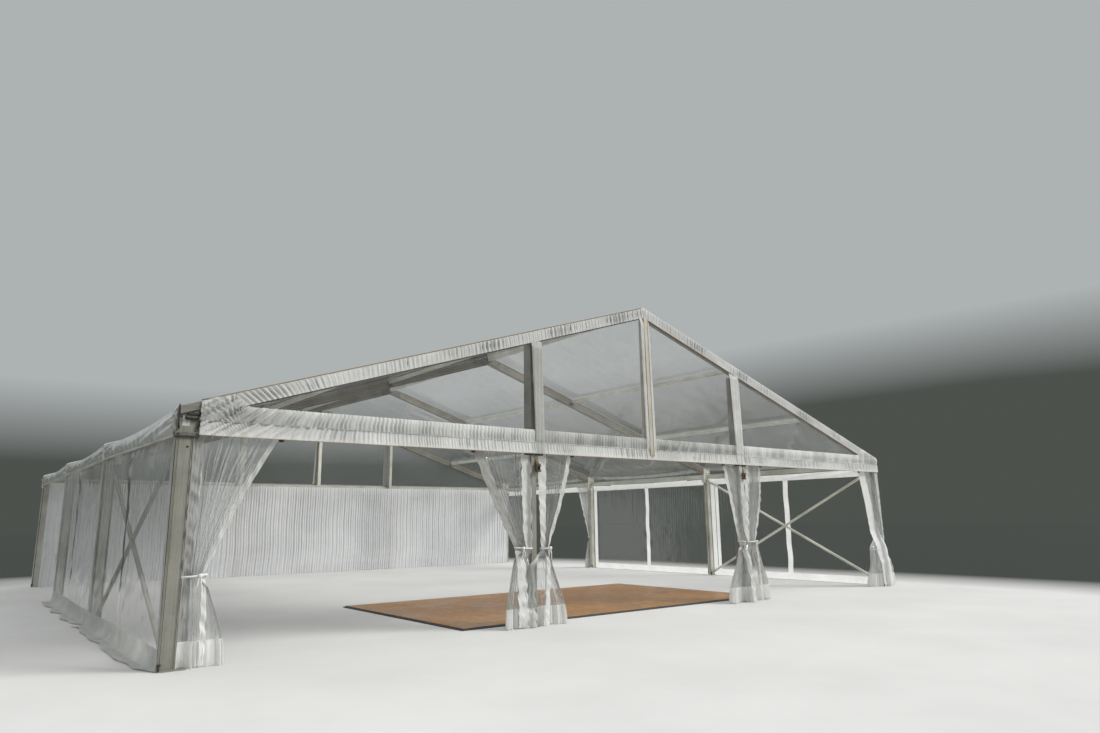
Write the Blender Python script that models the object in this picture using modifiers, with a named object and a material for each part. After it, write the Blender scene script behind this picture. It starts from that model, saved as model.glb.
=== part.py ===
"""A clear-roofed frame marquee: four portal frames of aluminium box section, three bays deep.

Metres, +Z up. The front gable faces -Y, and the origin is on the ground under the middle of the tent.
"""

import math
from typing import NamedTuple

import bmesh
import bpy
from mathutils import Matrix, Vector

# Overall size
SPAN = 15.1  # across the gable, over the outer faces of the legs
BAY = 5.0  # from the middle of one frame to the middle of the next
BAYS = 3
EAVE_HEIGHT = 2.875  # top of the roof sheet at the outer face of the legs
RIDGE_HEIGHT = 5.28  # top of the roof sheet at the ridge

# Aluminium box section of legs, rafters and gable uprights
BOX_DEPTH = 0.18  # in the plane of the frame
BOX_WIDTH = 0.09

# Eave beam, which runs through the heads of the legs
EAVE_BEAM_WIDTH = 0.08
EAVE_BEAM_HEIGHT = 0.11
EAVE_BEAM_INSET = 0.05  # from the outer face of the legs
EAVE_BEAM_DROP = 0.115  # from the eave to the top of the beam

# Head of a leg, the steel knee that holds rafter, leg and eave beam
HEAD_LENGTH = 0.25
HEAD_UNDER_BEAM = 0.11  # how far the head reaches below the eave beam

# Purlins, which run through the rafters
PURLIN_WIDTH = 0.07
PURLIN_HEIGHT = 0.07
PURLIN_COVER = 0.02  # rafter wall left above a purlin
PURLIN_PLACES = (2.5, 5.0)  # from the ridge, on each slope
RIDGE_BEAM_WIDTH = 0.08
RIDGE_BEAM_HEIGHT = 0.10

# Gable uprights and the transom that runs through them
UPRIGHT_PLACE = 2.5  # from the middle of the gable
TRANSOM_HEIGHT = 0.12
TRANSOM_DEPTH = 0.06
TRANSOM_INSET = 0.015  # behind the front face of the uprights
TRANSOM_CLEARANCE = 0.007  # under the lower end of the rafters
KING_POST_WIDTH = 0.10

# Foot plates
PLATE_THICKNESS = 0.012
PLATE_LENGTH = 0.28
PLATE_WIDTH = 0.20

# Cross bracing in the first bay of each side
BRACE_DIAMETER = 0.06
BRACE_FOOT = 0.08  # middle of the lower lug, above ground
BRACE_DROP = 0.065  # from the underside of the eave beam to the middle of the upper lug
BRACE_SEGMENTS = 12
LUG_SIZE = 0.10
LUG_THICKNESS = 0.012

# Sheets
SHEET = 0.003
VALANCE_RISE = 0.045  # from the eave up to the top of the valance
BARE_HEAD = 0.23  # of the head at a gable's left end, which its sheets leave uncovered
UPPER_TIER_HEIGHT = 0.20
UPPER_TIER_THICKNESS = 0.010
LOWER_TIER_HEIGHT = 0.17
LOWER_TIER_THICKNESS = 0.022  # it hangs proud of the upper tier
WALL_UNDER_HEAD = 0.01  # from the underside of the heads to the top of the wall sheets
LINING_THICKNESS = 0.03
LINING_OVER_BEAM = 0.03  # from the underside of the eave beams up to the top of the lining
LINING_SIDE = 0.14  # from the outer face of the legs to the edge of the lining

# Tied-back curtains
CURTAIN_THICKNESS = 0.08
SKIRT_HEIGHT = 0.30
SKIRT_TAPER = 0.96  # width at the top of the skirt, as a share of the foot
WAIST_HEIGHT = 0.10  # height of the narrow part at the tie

# Dance floor
FLOOR_LENGTH = 7.0
FLOOR_DEPTH = 4.2
FLOOR_THICKNESS = 0.03
FLOOR_FRONT = 0.40  # from the outer face of the front gable
FLOOR_EDGE = 0.012

# Clearances
GAP = 0.0003  # between pieces that touch
SEAM = 0.002  # between neighbouring sheets

# Worked out from the sizes above
HALF_SPAN = SPAN / 2
SLOPE = (RIDGE_HEIGHT - EAVE_HEIGHT) / HALF_SPAN
PITCH = math.atan(SLOPE)
UPRIGHT_OF_SLOPE = 1 / math.cos(PITCH)  # vertical size of a thickness square to the roof
HALF_LENGTH = BAYS * BAY / 2
FRAME_PLACES = [BAY * i - HALF_LENGTH for i in range(BAYS + 1)]
FRAME_FACE = HALF_LENGTH + BOX_WIDTH / 2  # outer face of the end frames
EAVE_BEAM_BOTTOM = EAVE_HEIGHT - EAVE_BEAM_DROP - EAVE_BEAM_HEIGHT
HEAD_BOTTOM = EAVE_BEAM_BOTTOM - HEAD_UNDER_BEAM
BRACE_HEAD = EAVE_BEAM_BOTTOM - BRACE_DROP
VALANCE_TOP = EAVE_HEIGHT + VALANCE_RISE
VALANCE_SEAM = VALANCE_TOP - UPPER_TIER_HEIGHT
VALANCE_BOTTOM = VALANCE_SEAM - LOWER_TIER_HEIGHT
WALL_TOP = HEAD_BOTTOM - WALL_UNDER_HEAD
LINING_TOP = EAVE_BEAM_BOTTOM + LINING_OVER_BEAM
SIDES = {"left": -1, "right": 1}
GABLES = {"front": 0.0, "back": math.pi}  # turn about Z that brings the front piece there


def roof_top(x):
    """Height of the roof sheet's upper face, x from the ridge."""
    return RIDGE_HEIGHT - SLOPE * abs(x)


def frame_top(x):
    """Height of the rafter's upper face, under the roof sheet."""
    return roof_top(x) - (SHEET + GAP) * UPRIGHT_OF_SLOPE


def rafter_bottom(x):
    return frame_top(x) - BOX_DEPTH * UPRIGHT_OF_SLOPE


TRANSOM_TOP = rafter_bottom(HALF_SPAN - HEAD_LENGTH) - TRANSOM_CLEARANCE
TRANSOM_BOTTOM = TRANSOM_TOP - TRANSOM_HEIGHT


def clear_scene():
    for old in list(bpy.data.objects):
        bpy.data.objects.remove(old, do_unlink=True)


def collection(name):
    made = bpy.data.collections.new(name)
    bpy.context.scene.collection.children.link(made)
    return made


def finish(name, colour, roughness, metallic=0.0, alpha=1.0):
    made = bpy.data.materials.new(name)
    made.use_nodes = True
    shader = made.node_tree.nodes["Principled BSDF"]
    shader.inputs["Base Color"].default_value = (*colour, 1.0)
    shader.inputs["Roughness"].default_value = roughness
    shader.inputs["Metallic"].default_value = metallic
    shader.inputs["Alpha"].default_value = alpha
    return made


clear_scene()
TENT = collection("frame_marquee")
HELPERS = collection("helpers")
FINISHES = {
    "aluminium": finish("aluminium", (0.55, 0.54, 0.51), 0.42, 1.0),
    "clear_film": finish("clear_film", (0.86, 0.90, 0.90), 0.08, 0.0, 0.3),
    "white_fabric": finish("white_fabric", (0.84, 0.84, 0.82), 0.55),
    "curtain_film": finish("curtain_film", (0.80, 0.82, 0.80), 0.25, 0.0, 0.6),
    "parquet": finish("parquet", (0.55, 0.30, 0.14), 0.35),
}


def place(name, data, slot, turn=(0.0, 0.0, 0.0), at=(0.0, 0.0, 0.0), into=None):
    """A named object of this data, in the tent's collection unless another is given."""
    made = bpy.data.objects.new(name, data)
    made.rotation_euler = turn
    made.location = at
    if slot and not data.materials:
        data.materials.append(FINISHES[slot])
    (into or TENT).objects.link(made)
    return made


def block_mesh(name, low, high):
    """Mesh of a box between two corners."""
    low, high = Vector(low), Vector(high)
    shape = bmesh.new()
    bmesh.ops.create_cube(shape, size=1.0)
    size = Matrix.Diagonal((*(high - low), 1.0))
    bmesh.ops.transform(shape, matrix=Matrix.Translation((low + high) / 2) @ size, verts=shape.verts)
    mesh = bpy.data.meshes.new(name)
    shape.to_mesh(mesh)
    shape.free()
    return mesh


def outline_curve(name, outlines, thickness):
    """Flat 2D curve with any holes, extruded to the thickness about its own plane."""
    curve = bpy.data.curves.new(name, "CURVE")
    curve.dimensions = "2D"
    curve.fill_mode = "BOTH"
    curve.extrude = thickness / 2
    for outline in outlines:
        spline = curve.splines.new("POLY")
        spline.points.add(len(outline) - 1)
        for point, (across, up) in zip(spline.points, outline):
            point.co = (across, up, 0.0, 1.0)
        spline.use_cyclic_u = True
    return curve


# A curve drawn as (x, z) or as (y, z), stood up in the tent
FACING_FRONT = (math.pi / 2, 0.0, 0.0)
FACING_SIDE = (math.pi / 2, 0.0, math.pi / 2)


def facing_front(turn=0.0):
    return (math.pi / 2, 0.0, turn)


def rectangle(centre, width, height, tilt=0.0):
    """Corners of a rectangle, turned by tilt about its centre."""
    corners = []
    for across, up in ((-1, -1), (1, -1), (1, 1), (-1, 1)):
        a, u = across * width / 2, up * height / 2
        turned = (a * math.cos(tilt) - u * math.sin(tilt), a * math.sin(tilt) + u * math.cos(tilt))
        corners.append((centre[0] + turned[0], centre[1] + turned[1]))
    return corners


def joined(name, base, others):
    """One mesh: a curve or mesh object united with boxes and tubes that overlap it."""
    for i, other in enumerate(others):
        helper = place(f"{name}_join_{i}", other, None, into=HELPERS)
        helper.hide_render = True
        helper.display_type = "WIRE"
        union = base.modifiers.new(f"join_{i}", "BOOLEAN")
        union.operation = "UNION"
        union.object = helper
    bpy.context.view_layer.update()
    graph = bpy.context.evaluated_depsgraph_get()
    mesh = bpy.data.meshes.new_from_object(base.evaluated_get(graph))
    mesh.name = name
    mesh.materials.clear()
    bpy.data.objects.remove(base, do_unlink=True)
    return mesh


def curve_to_mesh(name, curve, turn):
    """Closed mesh of an outline curve, in world axes, with its caps welded on."""
    stood = place(f"{name}_outline", curve, None, turn, into=HELPERS)
    bpy.context.view_layer.update()
    graph = bpy.context.evaluated_depsgraph_get()
    mesh = bpy.data.meshes.new_from_object(stood.evaluated_get(graph))
    mesh.transform(stood.matrix_world)
    shape = bmesh.new()
    shape.from_mesh(mesh)
    bmesh.ops.remove_doubles(shape, verts=shape.verts, dist=GAP / 3)
    bmesh.ops.recalc_face_normals(shape, faces=shape.faces)
    shape.to_mesh(mesh)
    shape.free()
    bpy.data.objects.remove(stood, do_unlink=True)
    return mesh


def leg_mesh():
    """Right-hand leg about the plane of its frame: bar, knee head with the beam's slot, foot plate."""
    outer = HALF_SPAN
    bar_inner = outer - BOX_DEPTH
    head_inner = outer - HEAD_LENGTH
    bar_foot = PLATE_THICKNESS / 2
    outline = [
        (outer, bar_foot),
        (outer, frame_top(outer)),
        (head_inner, frame_top(head_inner)),
        (head_inner, HEAD_BOTTOM),
        (bar_inner, HEAD_BOTTOM),
        (bar_inner, bar_foot),
    ]
    beam = (outer - EAVE_BEAM_INSET - EAVE_BEAM_WIDTH / 2, EAVE_BEAM_BOTTOM + EAVE_BEAM_HEIGHT / 2)
    slot = rectangle(beam, EAVE_BEAM_WIDTH + 2 * GAP, EAVE_BEAM_HEIGHT + 2 * GAP)
    bar = curve_to_mesh("leg", outline_curve("leg", [outline, slot], BOX_WIDTH), facing_front())
    plate_low = (outer - PLATE_LENGTH, -PLATE_WIDTH / 2, 0.0)
    plate_high = (outer, PLATE_WIDTH / 2, PLATE_THICKNESS)
    plate = block_mesh("leg_foot", plate_low, plate_high)
    return joined("leg", place("leg_base", bar, None, into=HELPERS), [plate])


def legs():
    mesh = leg_mesh()
    for number, y in enumerate(FRAME_PLACES, 1):
        for side, sign in SIDES.items():
            turn = 0.0 if sign > 0 else math.pi
            place(f"leg_{number}_{side}", mesh, "aluminium", (0.0, 0.0, turn), (0.0, y, 0.0))


def purlin_centre(x):
    """Middle of a purlin on the right slope, its top face under the rafter's cover."""
    depth = PURLIN_COVER + PURLIN_HEIGHT / 2
    return (x - depth * math.sin(PITCH), frame_top(x) - depth * math.cos(PITCH))


def rafter_curve():
    """Right-hand rafter: from the knee head to the ridge beam, with a slot for each purlin."""
    low_end = HALF_SPAN - HEAD_LENGTH - GAP
    apex = GAP / 2
    beam_side = RIDGE_BEAM_WIDTH / 2 + GAP
    beam_under = ridge_beam_top() - RIDGE_BEAM_HEIGHT - GAP
    outline = [
        (low_end, rafter_bottom(low_end)),
        (low_end, frame_top(low_end)),
        (beam_side, frame_top(beam_side)),
        (beam_side, beam_under),
        (apex, beam_under),
        (apex, rafter_bottom(apex)),
    ]
    slots = []
    for x in PURLIN_PLACES:
        slots.append(
            rectangle(purlin_centre(x), PURLIN_WIDTH + 2 * GAP, PURLIN_HEIGHT + 2 * GAP, -PITCH)
        )
    return outline_curve("rafter", [outline, *slots], BOX_WIDTH)


def rafters():
    curve = rafter_curve()
    for number, y in enumerate(FRAME_PLACES, 1):
        for side, sign in SIDES.items():
            turn = facing_front(0.0 if sign > 0 else math.pi)
            place(f"rafter_{number}_{side}", curve, "aluminium", turn, (0.0, y, 0.0))


def ridge_beam_top():
    return frame_top(RIDGE_BEAM_WIDTH / 2)


def ridge_beam():
    top = ridge_beam_top()
    low = (-RIDGE_BEAM_WIDTH / 2, -FRAME_FACE, top - RIDGE_BEAM_HEIGHT)
    high = (RIDGE_BEAM_WIDTH / 2, FRAME_FACE, top)
    place("ridge_beam", block_mesh("ridge_beam", low, high), "aluminium")


def purlins():
    low = (-PURLIN_WIDTH / 2, -FRAME_FACE, -PURLIN_HEIGHT / 2)
    high = (PURLIN_WIDTH / 2, FRAME_FACE, PURLIN_HEIGHT / 2)
    mesh = block_mesh("purlin", low, high)
    for side, sign in SIDES.items():
        for name, x in zip(("upper", "lower"), PURLIN_PLACES):
            across, up = purlin_centre(x)
            turn = (0.0, sign * PITCH, 0.0)
            place(f"{name}_purlin_{side}", mesh, "aluminium", turn, (sign * across, 0.0, up))


def eave_beams():
    low = (-EAVE_BEAM_WIDTH / 2, -FRAME_FACE, EAVE_BEAM_BOTTOM)
    high = (EAVE_BEAM_WIDTH / 2, FRAME_FACE, EAVE_BEAM_BOTTOM + EAVE_BEAM_HEIGHT)
    mesh = block_mesh("eave_beam", low, high)
    middle = HALF_SPAN - EAVE_BEAM_INSET - EAVE_BEAM_WIDTH / 2
    for side, sign in SIDES.items():
        place(f"eave_beam_{side}", mesh, "aluminium", at=(sign * middle, 0.0, 0.0))


def upright_mesh():
    """Gable upright about x = 0, its deep side across the gable, slotted for the transom."""
    front = -FRAME_FACE
    back = front + BOX_DEPTH
    top = rafter_bottom(UPRIGHT_PLACE + BOX_WIDTH / 2) - GAP
    outline = [
        (front, PLATE_THICKNESS / 2),
        (back, PLATE_THICKNESS / 2),
        (back, top),
        (front, top),
    ]
    middle = (front + TRANSOM_INSET + TRANSOM_DEPTH / 2, TRANSOM_BOTTOM + TRANSOM_HEIGHT / 2)
    slot = rectangle(middle, TRANSOM_DEPTH + 2 * GAP, TRANSOM_HEIGHT + 2 * GAP)
    bar = curve_to_mesh("upright", outline_curve("upright", [outline, slot], BOX_WIDTH), FACING_SIDE)
    plate_low = (-PLATE_WIDTH / 2, front, 0.0)
    plate_high = (PLATE_WIDTH / 2, front + PLATE_LENGTH, PLATE_THICKNESS)
    plate = block_mesh("upright_foot", plate_low, plate_high)
    return joined("upright", place("upright_base", bar, None, into=HELPERS), [plate])


def gable_uprights():
    mesh = upright_mesh()
    for gable, turn in GABLES.items():
        for side, sign in SIDES.items():
            at = (sign * UPRIGHT_PLACE, 0.0, 0.0)
            place(f"{gable}_upright_{side}", mesh, "aluminium", (0.0, 0.0, turn), at)


def transoms():
    """Bar across each gable between the knee heads, with the short king post that stands on it."""
    half = HALF_SPAN - HEAD_LENGTH - GAP
    front = -FRAME_FACE + TRANSOM_INSET
    low = (-half, front, TRANSOM_BOTTOM)
    high = (half, front + TRANSOM_DEPTH, TRANSOM_TOP)
    bar = block_mesh("transom", low, high)
    foot = TRANSOM_TOP + GAP
    edge = KING_POST_WIDTH / 2
    outline = [
        (-edge, foot),
        (edge, foot),
        (edge, rafter_bottom(edge) - GAP),
        (0.0, rafter_bottom(0.0) - GAP),
        (-edge, rafter_bottom(edge) - GAP),
    ]
    post = outline_curve("king_post", [outline], TRANSOM_DEPTH)
    for gable, turn in GABLES.items():
        place(f"{gable}_transom", bar, "aluminium", (0.0, 0.0, turn))
        at = Matrix.Rotation(turn, 3, "Z") @ Vector((0.0, -HALF_LENGTH, 0.0))
        place(f"{gable}_king_post", post, "aluminium", facing_front(turn), at)


def tube_mesh(name, start, end, diameter, reach, roll):
    """Tube between two points, run on past them and cut square to Y at reach on both sides.

    roll turns the tube about its own length.
    """
    start, end = Vector(start), Vector(end)
    along = end - start
    longer = along.length + 4 * diameter
    shape = bmesh.new()
    radius = diameter / 2
    bmesh.ops.create_cone(
        shape, cap_ends=True, segments=BRACE_SEGMENTS, radius1=radius, radius2=radius, depth=longer
    )
    turn = along.to_track_quat("Z", "Y").to_matrix().to_4x4() @ Matrix.Rotation(roll, 4, "Z")
    bmesh.ops.transform(shape, matrix=Matrix.Translation((start + end) / 2) @ turn, verts=shape.verts)
    for sign in (-1, 1):
        everything = [*shape.verts, *shape.edges, *shape.faces]
        bmesh.ops.bisect_plane(
            shape, geom=everything, plane_co=(0, sign * reach, 0), plane_no=(0, sign, 0), clear_outer=True
        )
        rim = [edge for edge in shape.edges if edge.is_boundary]
        bmesh.ops.holes_fill(shape, edges=rim, sides=0)
    bmesh.ops.recalc_face_normals(shape, faces=shape.faces)
    mesh = bpy.data.meshes.new(name)
    shape.to_mesh(mesh)
    shape.free()
    return mesh


def cross_brace_mesh():
    """Two tubes welded where they cross, with a lug plate at each end, about the middle of a bay."""
    reach = BAY / 2 - BOX_WIDTH / 2 - GAP  # to the faces of the two legs
    tube_end = reach - LUG_THICKNESS / 2
    tubes = []
    lugs = []
    for sign in (-1, 1):
        start = (0.0, -tube_end, BRACE_FOOT if sign < 0 else BRACE_HEAD)
        end = (0.0, tube_end, BRACE_HEAD if sign < 0 else BRACE_FOOT)
        roll = 0.0 if sign < 0 else math.pi / BRACE_SEGMENTS  # so no edges of the two tubes coincide
        tubes.append(tube_mesh("brace_tube", start, end, BRACE_DIAMETER, tube_end, roll))
        for height in (BRACE_FOOT, BRACE_HEAD):
            face = sign * reach
            inner = sign * (reach - LUG_THICKNESS)
            low = (-LUG_SIZE / 2, min(face, inner), height - LUG_SIZE / 2)
            high = (LUG_SIZE / 2, max(face, inner), height + LUG_SIZE / 2)
            lugs.append(block_mesh("brace_lug", low, high))
    base = place("brace_base", tubes[0], None, into=HELPERS)
    return joined("cross_brace", base, [tubes[1], *lugs])


def cross_braces():
    mesh = cross_brace_mesh()
    middle = HALF_SPAN - BOX_DEPTH / 2
    bay_middle = FRAME_PLACES[0] + BAY / 2
    for side, sign in SIDES.items():
        place(f"cross_brace_{side}", mesh, "aluminium", at=(sign * middle, bay_middle, 0.0))


def bay_limits(bay):
    """Front and back edge of the sheets of one bay, the end bays out to the gable's face."""
    front = -FRAME_FACE if bay == 0 else FRAME_PLACES[bay] + SEAM / 2
    back = FRAME_FACE if bay == BAYS - 1 else FRAME_PLACES[bay + 1] - SEAM / 2
    return front, back


def roof_sheets():
    upright = SHEET * UPRIGHT_OF_SLOPE
    ridge = SEAM / 2
    section = [
        (ridge, roof_top(ridge) - upright),
        (HALF_SPAN, roof_top(HALF_SPAN) - upright),
        (HALF_SPAN, roof_top(HALF_SPAN)),
        (ridge, roof_top(ridge)),
    ]
    for bay in range(BAYS):
        front, back = bay_limits(bay)
        curve = outline_curve(f"roof_sheet_{bay + 1}", [section], back - front)
        for side, sign in SIDES.items():
            turn = facing_front(0.0 if sign > 0 else math.pi)
            at = (0.0, (front + back) / 2, 0.0)
            place(f"roof_sheet_{bay + 1}_{side}", curve, "clear_film", turn, at)


def gable_sheets():
    """Clear infill over the outer face of each end frame, from the valance up to the roof."""
    left_end = -HALF_SPAN + BARE_HEAD
    outline = [
        (left_end, VALANCE_SEAM),
        (HALF_SPAN, VALANCE_SEAM),
        (HALF_SPAN, EAVE_HEIGHT),
        (0.0, RIDGE_HEIGHT),
        (left_end, roof_top(left_end)),
    ]
    curve = outline_curve("gable_sheet", [outline], SHEET)
    out = FRAME_FACE + GAP + SHEET / 2
    for gable, turn in GABLES.items():
        at = Matrix.Rotation(turn, 3, "Z") @ Vector((0.0, -out, 0.0))
        place(f"{gable}_gable_sheet", curve, "clear_film", facing_front(turn), at)


def valances():
    """Two-tier white band across each gable: gathered upper tier, lower tier standing proud."""
    inner = -(FRAME_FACE + SHEET + 2 * GAP)
    section = [
        (inner, VALANCE_BOTTOM),
        (inner, VALANCE_TOP),
        (inner - UPPER_TIER_THICKNESS, VALANCE_TOP),
        (inner - UPPER_TIER_THICKNESS, VALANCE_SEAM),
        (inner - LOWER_TIER_THICKNESS, VALANCE_SEAM),
        (inner - LOWER_TIER_THICKNESS, VALANCE_BOTTOM),
    ]
    curve = outline_curve("valance", [section], SPAN - BARE_HEAD)
    for gable, turn in GABLES.items():
        sideways = (math.pi / 2, 0.0, math.pi / 2 + turn)
        at = Matrix.Rotation(turn, 3, "Z") @ Vector((BARE_HEAD / 2, 0.0, 0.0))
        place(f"{gable}_valance", curve, "white_fabric", sideways, at)


def eave_bands():
    """Skirt of the roof sheet down the outside of the eave beam, along each side."""
    low = (HALF_SPAN + GAP, -FRAME_FACE, WALL_TOP + GAP)
    high = (HALF_SPAN + GAP + SHEET, FRAME_FACE, frame_top(HALF_SPAN))
    mesh = block_mesh("eave_band", low, high)
    for side, sign in SIDES.items():
        turn = 0.0 if sign > 0 else math.pi
        place(f"eave_band_{side}", mesh, "clear_film", (0.0, 0.0, turn))


def side_walls():
    """Clear wall sheets outside the legs. The last bay of each side is open."""
    for bay in range(BAYS - 1):
        front, back = bay_limits(bay)
        half = (back - front) / 2
        low = (HALF_SPAN + GAP, -half, 0.0)
        high = (HALF_SPAN + GAP + SHEET, half, WALL_TOP)
        mesh = block_mesh(f"side_wall_{bay + 1}", low, high)
        for side, sign in SIDES.items():
            turn = 0.0 if sign > 0 else math.pi
            at = (0.0, (front + back) / 2, 0.0)
            place(f"side_wall_{bay + 1}_{side}", mesh, "clear_film", (0.0, 0.0, turn), at)


def back_lining():
    """White gathered lining that closes the back gable, hung on the inside of its uprights."""
    half = HALF_SPAN - LINING_SIDE
    back = FRAME_FACE - BOX_DEPTH - GAP
    low = (-half, back - LINING_THICKNESS, PLATE_THICKNESS + GAP)
    high = (half, back, LINING_TOP)
    place("back_lining", block_mesh("back_lining", low, high), "white_fabric")


class Curtain(NamedTuple):
    """Sizes of a tied-back curtain."""

    post: float  # face of the post that it hangs by
    drawn: int  # 1 where it spreads from the post to larger values, -1 to smaller ones
    rail: float  # width at the rail
    tie: float  # width at the waist
    foot: float  # width at the foot
    tie_height: float
    notch: float = 0.0  # how far a knee head stands out over the top corner


def curtain_outline(sizes):
    """Half an hourglass beside a post: hung along the rail, tied at the waist, flared at the foot."""
    foot = PLATE_THICKNESS + GAP
    rail = TRANSOM_BOTTOM - GAP
    under_head = HEAD_BOTTOM - GAP
    edge = sizes.post + sizes.drawn * GAP
    below_tie = sizes.tie_height - WAIST_HEIGHT / 2
    above_tie = sizes.tie_height + WAIST_HEIGHT / 2
    rows = [
        (sizes.foot, foot),
        (sizes.foot * SKIRT_TAPER, SKIRT_HEIGHT),
        (sizes.tie, below_tie),
        (sizes.tie, above_tie),
        (sizes.rail, rail),
    ]
    outline = [(edge, foot)]
    outline.extend((edge + sizes.drawn * width, height) for width, height in rows)
    if sizes.notch:
        inner = edge + sizes.drawn * sizes.notch
        outline.extend([(inner, rail), (inner, under_head), (edge, under_head)])
    else:
        outline.append((edge, rail))
    return outline


LEG_INNER = HALF_SPAN - BOX_DEPTH
HEAD_OVER = HEAD_LENGTH - BOX_DEPTH
LEFT_POST = -UPRIGHT_PLACE
RIGHT_POST = UPRIGHT_PLACE
POST_HALF = BOX_WIDTH / 2
FRONT_CURTAINS = {
    "curtain_corner_left": Curtain(-LEG_INNER, 1, 1.01, 0.22, 0.44, 0.98, HEAD_OVER),
    "curtain_2": Curtain(LEFT_POST - POST_HALF, -1, 1.05, 0.30, 0.43, 1.12),
    "curtain_3": Curtain(LEFT_POST + POST_HALF, 1, 0.70, 0.26, 0.53, 1.12),
    "curtain_4": Curtain(RIGHT_POST - POST_HALF, -1, 0.50, 0.18, 0.57, 1.09),
    "curtain_5": Curtain(RIGHT_POST + POST_HALF, 1, 0.58, 0.30, 0.68, 1.09),
    "curtain_corner_right": Curtain(LEG_INNER, -1, 0.61, 0.28, 0.52, 0.88, HEAD_OVER),
}
SIDE_CURTAIN = Curtain(FRAME_PLACES[-2] + POST_HALF, 1, 0.66, 0.12, 0.30, 0.99)


def curtains():
    for name, sizes in FRONT_CURTAINS.items():
        curve = outline_curve(name, [curtain_outline(sizes)], CURTAIN_THICKNESS)
        place(name, curve, "curtain_film", facing_front(), (0.0, -HALF_LENGTH, 0.0))
    curve = outline_curve("side_curtain", [curtain_outline(SIDE_CURTAIN)], CURTAIN_THICKNESS)
    for side, sign in SIDES.items():
        at = (sign * (HALF_SPAN - EAVE_BEAM_INSET - EAVE_BEAM_WIDTH / 2), 0.0, 0.0)
        place(f"side_curtain_{side}", curve, "curtain_film", FACING_SIDE, at)


def dance_floor():
    front = -FRAME_FACE + FLOOR_FRONT
    low = (-FLOOR_LENGTH / 2, front, 0.0)
    high = (FLOOR_LENGTH / 2, front + FLOOR_DEPTH, FLOOR_THICKNESS)
    made = place("dance_floor", block_mesh("dance_floor", low, high), "parquet")
    bevel = made.modifiers.new("edge", "BEVEL")
    bevel.width = FLOOR_EDGE
    bevel.segments = 2


legs()
rafters()
ridge_beam()
purlins()
eave_beams()
gable_uprights()
transoms()
cross_braces()
roof_sheets()
gable_sheets()
valances()
eave_bands()
side_walls()
back_lining()
curtains()
dance_floor()
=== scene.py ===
# %% [markdown]
# # A clear-roofed frame marquee
#
# The real thing is a party tent, 15 metres wide and three bays deep. Four portal frames of
# aluminium box section stand in a row. Clear film is stretched over them, white coated fabric
# edges every sheet, and gathered film curtains are tied back to the posts.
#
# The metal frame comes from the CAD model, in metres. This lesson dresses it. The bars keep their
# shape and get a finish, and each plain CAD sheet is replaced by film or fabric that hangs in the
# same place.

import math

import bmesh
import bpy
import numpy as np
from mathutils import Matrix, Vector


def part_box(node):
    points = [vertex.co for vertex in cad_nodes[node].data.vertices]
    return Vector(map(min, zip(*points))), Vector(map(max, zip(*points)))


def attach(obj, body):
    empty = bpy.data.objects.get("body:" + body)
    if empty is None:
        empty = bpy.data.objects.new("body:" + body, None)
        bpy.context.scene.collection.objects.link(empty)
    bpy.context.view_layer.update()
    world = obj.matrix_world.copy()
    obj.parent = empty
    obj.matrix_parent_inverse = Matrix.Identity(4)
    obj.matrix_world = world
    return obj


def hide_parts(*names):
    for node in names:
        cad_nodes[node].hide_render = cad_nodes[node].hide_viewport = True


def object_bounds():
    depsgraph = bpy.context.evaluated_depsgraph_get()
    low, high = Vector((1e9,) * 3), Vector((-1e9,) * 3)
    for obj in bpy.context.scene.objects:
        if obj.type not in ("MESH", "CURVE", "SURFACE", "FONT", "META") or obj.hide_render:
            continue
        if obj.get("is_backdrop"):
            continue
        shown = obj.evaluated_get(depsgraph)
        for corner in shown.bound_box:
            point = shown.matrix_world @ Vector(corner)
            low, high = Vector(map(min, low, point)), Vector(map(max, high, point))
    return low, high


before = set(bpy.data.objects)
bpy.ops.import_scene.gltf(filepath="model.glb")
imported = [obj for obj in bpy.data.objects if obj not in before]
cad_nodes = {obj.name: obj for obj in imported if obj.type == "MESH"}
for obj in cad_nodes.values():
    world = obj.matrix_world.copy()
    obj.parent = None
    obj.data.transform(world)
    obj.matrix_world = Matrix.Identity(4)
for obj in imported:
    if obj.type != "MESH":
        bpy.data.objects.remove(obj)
cad_low, cad_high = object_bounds()
print("The CAD model measures", [round(v, 2) for v in cad_high - cad_low], "metres")

# %% [markdown]
# ## The camera
#
# The photograph was taken with a wide lens, at eye height, from the left of the open gable. A
# camera is only a place, a direction and a lens, so each is a named value here. The direction is
# built from three turns: the heading to the right, the tilt upwards, and a slight roll.

# %% Camera
CAMERA_PLACE = (-9.51, -16.87, 1.54)
CAMERA_HEADING = 38.26  # degrees to the right of straight into the tent
CAMERA_TILT = 11.50  # degrees upwards
CAMERA_ROLL = -0.70
CAMERA_LENS = 24.75  # millimetres, with a sensor 36 mm wide


def make_camera():
    lens = bpy.data.cameras.new("camera")
    lens.lens = CAMERA_LENS
    lens.sensor_width = 36.0
    lens.sensor_fit = "HORIZONTAL"
    camera = bpy.data.objects.new("camera", lens)
    heading = Matrix.Rotation(math.radians(-CAMERA_HEADING), 4, "Z")
    tilt = Matrix.Rotation(math.radians(90 + CAMERA_TILT), 4, "X")
    roll = Matrix.Rotation(math.radians(CAMERA_ROLL), 4, "Z")
    camera.matrix_world = Matrix.Translation(CAMERA_PLACE) @ heading @ tilt @ roll
    bpy.context.scene.collection.objects.link(camera)
    bpy.context.scene.camera = camera
    return camera


camera = make_camera()
print("Camera at", [round(v, 2) for v in camera.matrix_world.translation])

# %% [markdown]
# ## Finishes from nodes
#
# Every surface gets a material built from nodes, so nothing depends on a picture file. Adding a
# node always takes the same steps: make it, set its options, then fill each input with either a
# value or a link. One small helper does that, and a few more name the nodes that come up often.

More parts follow.
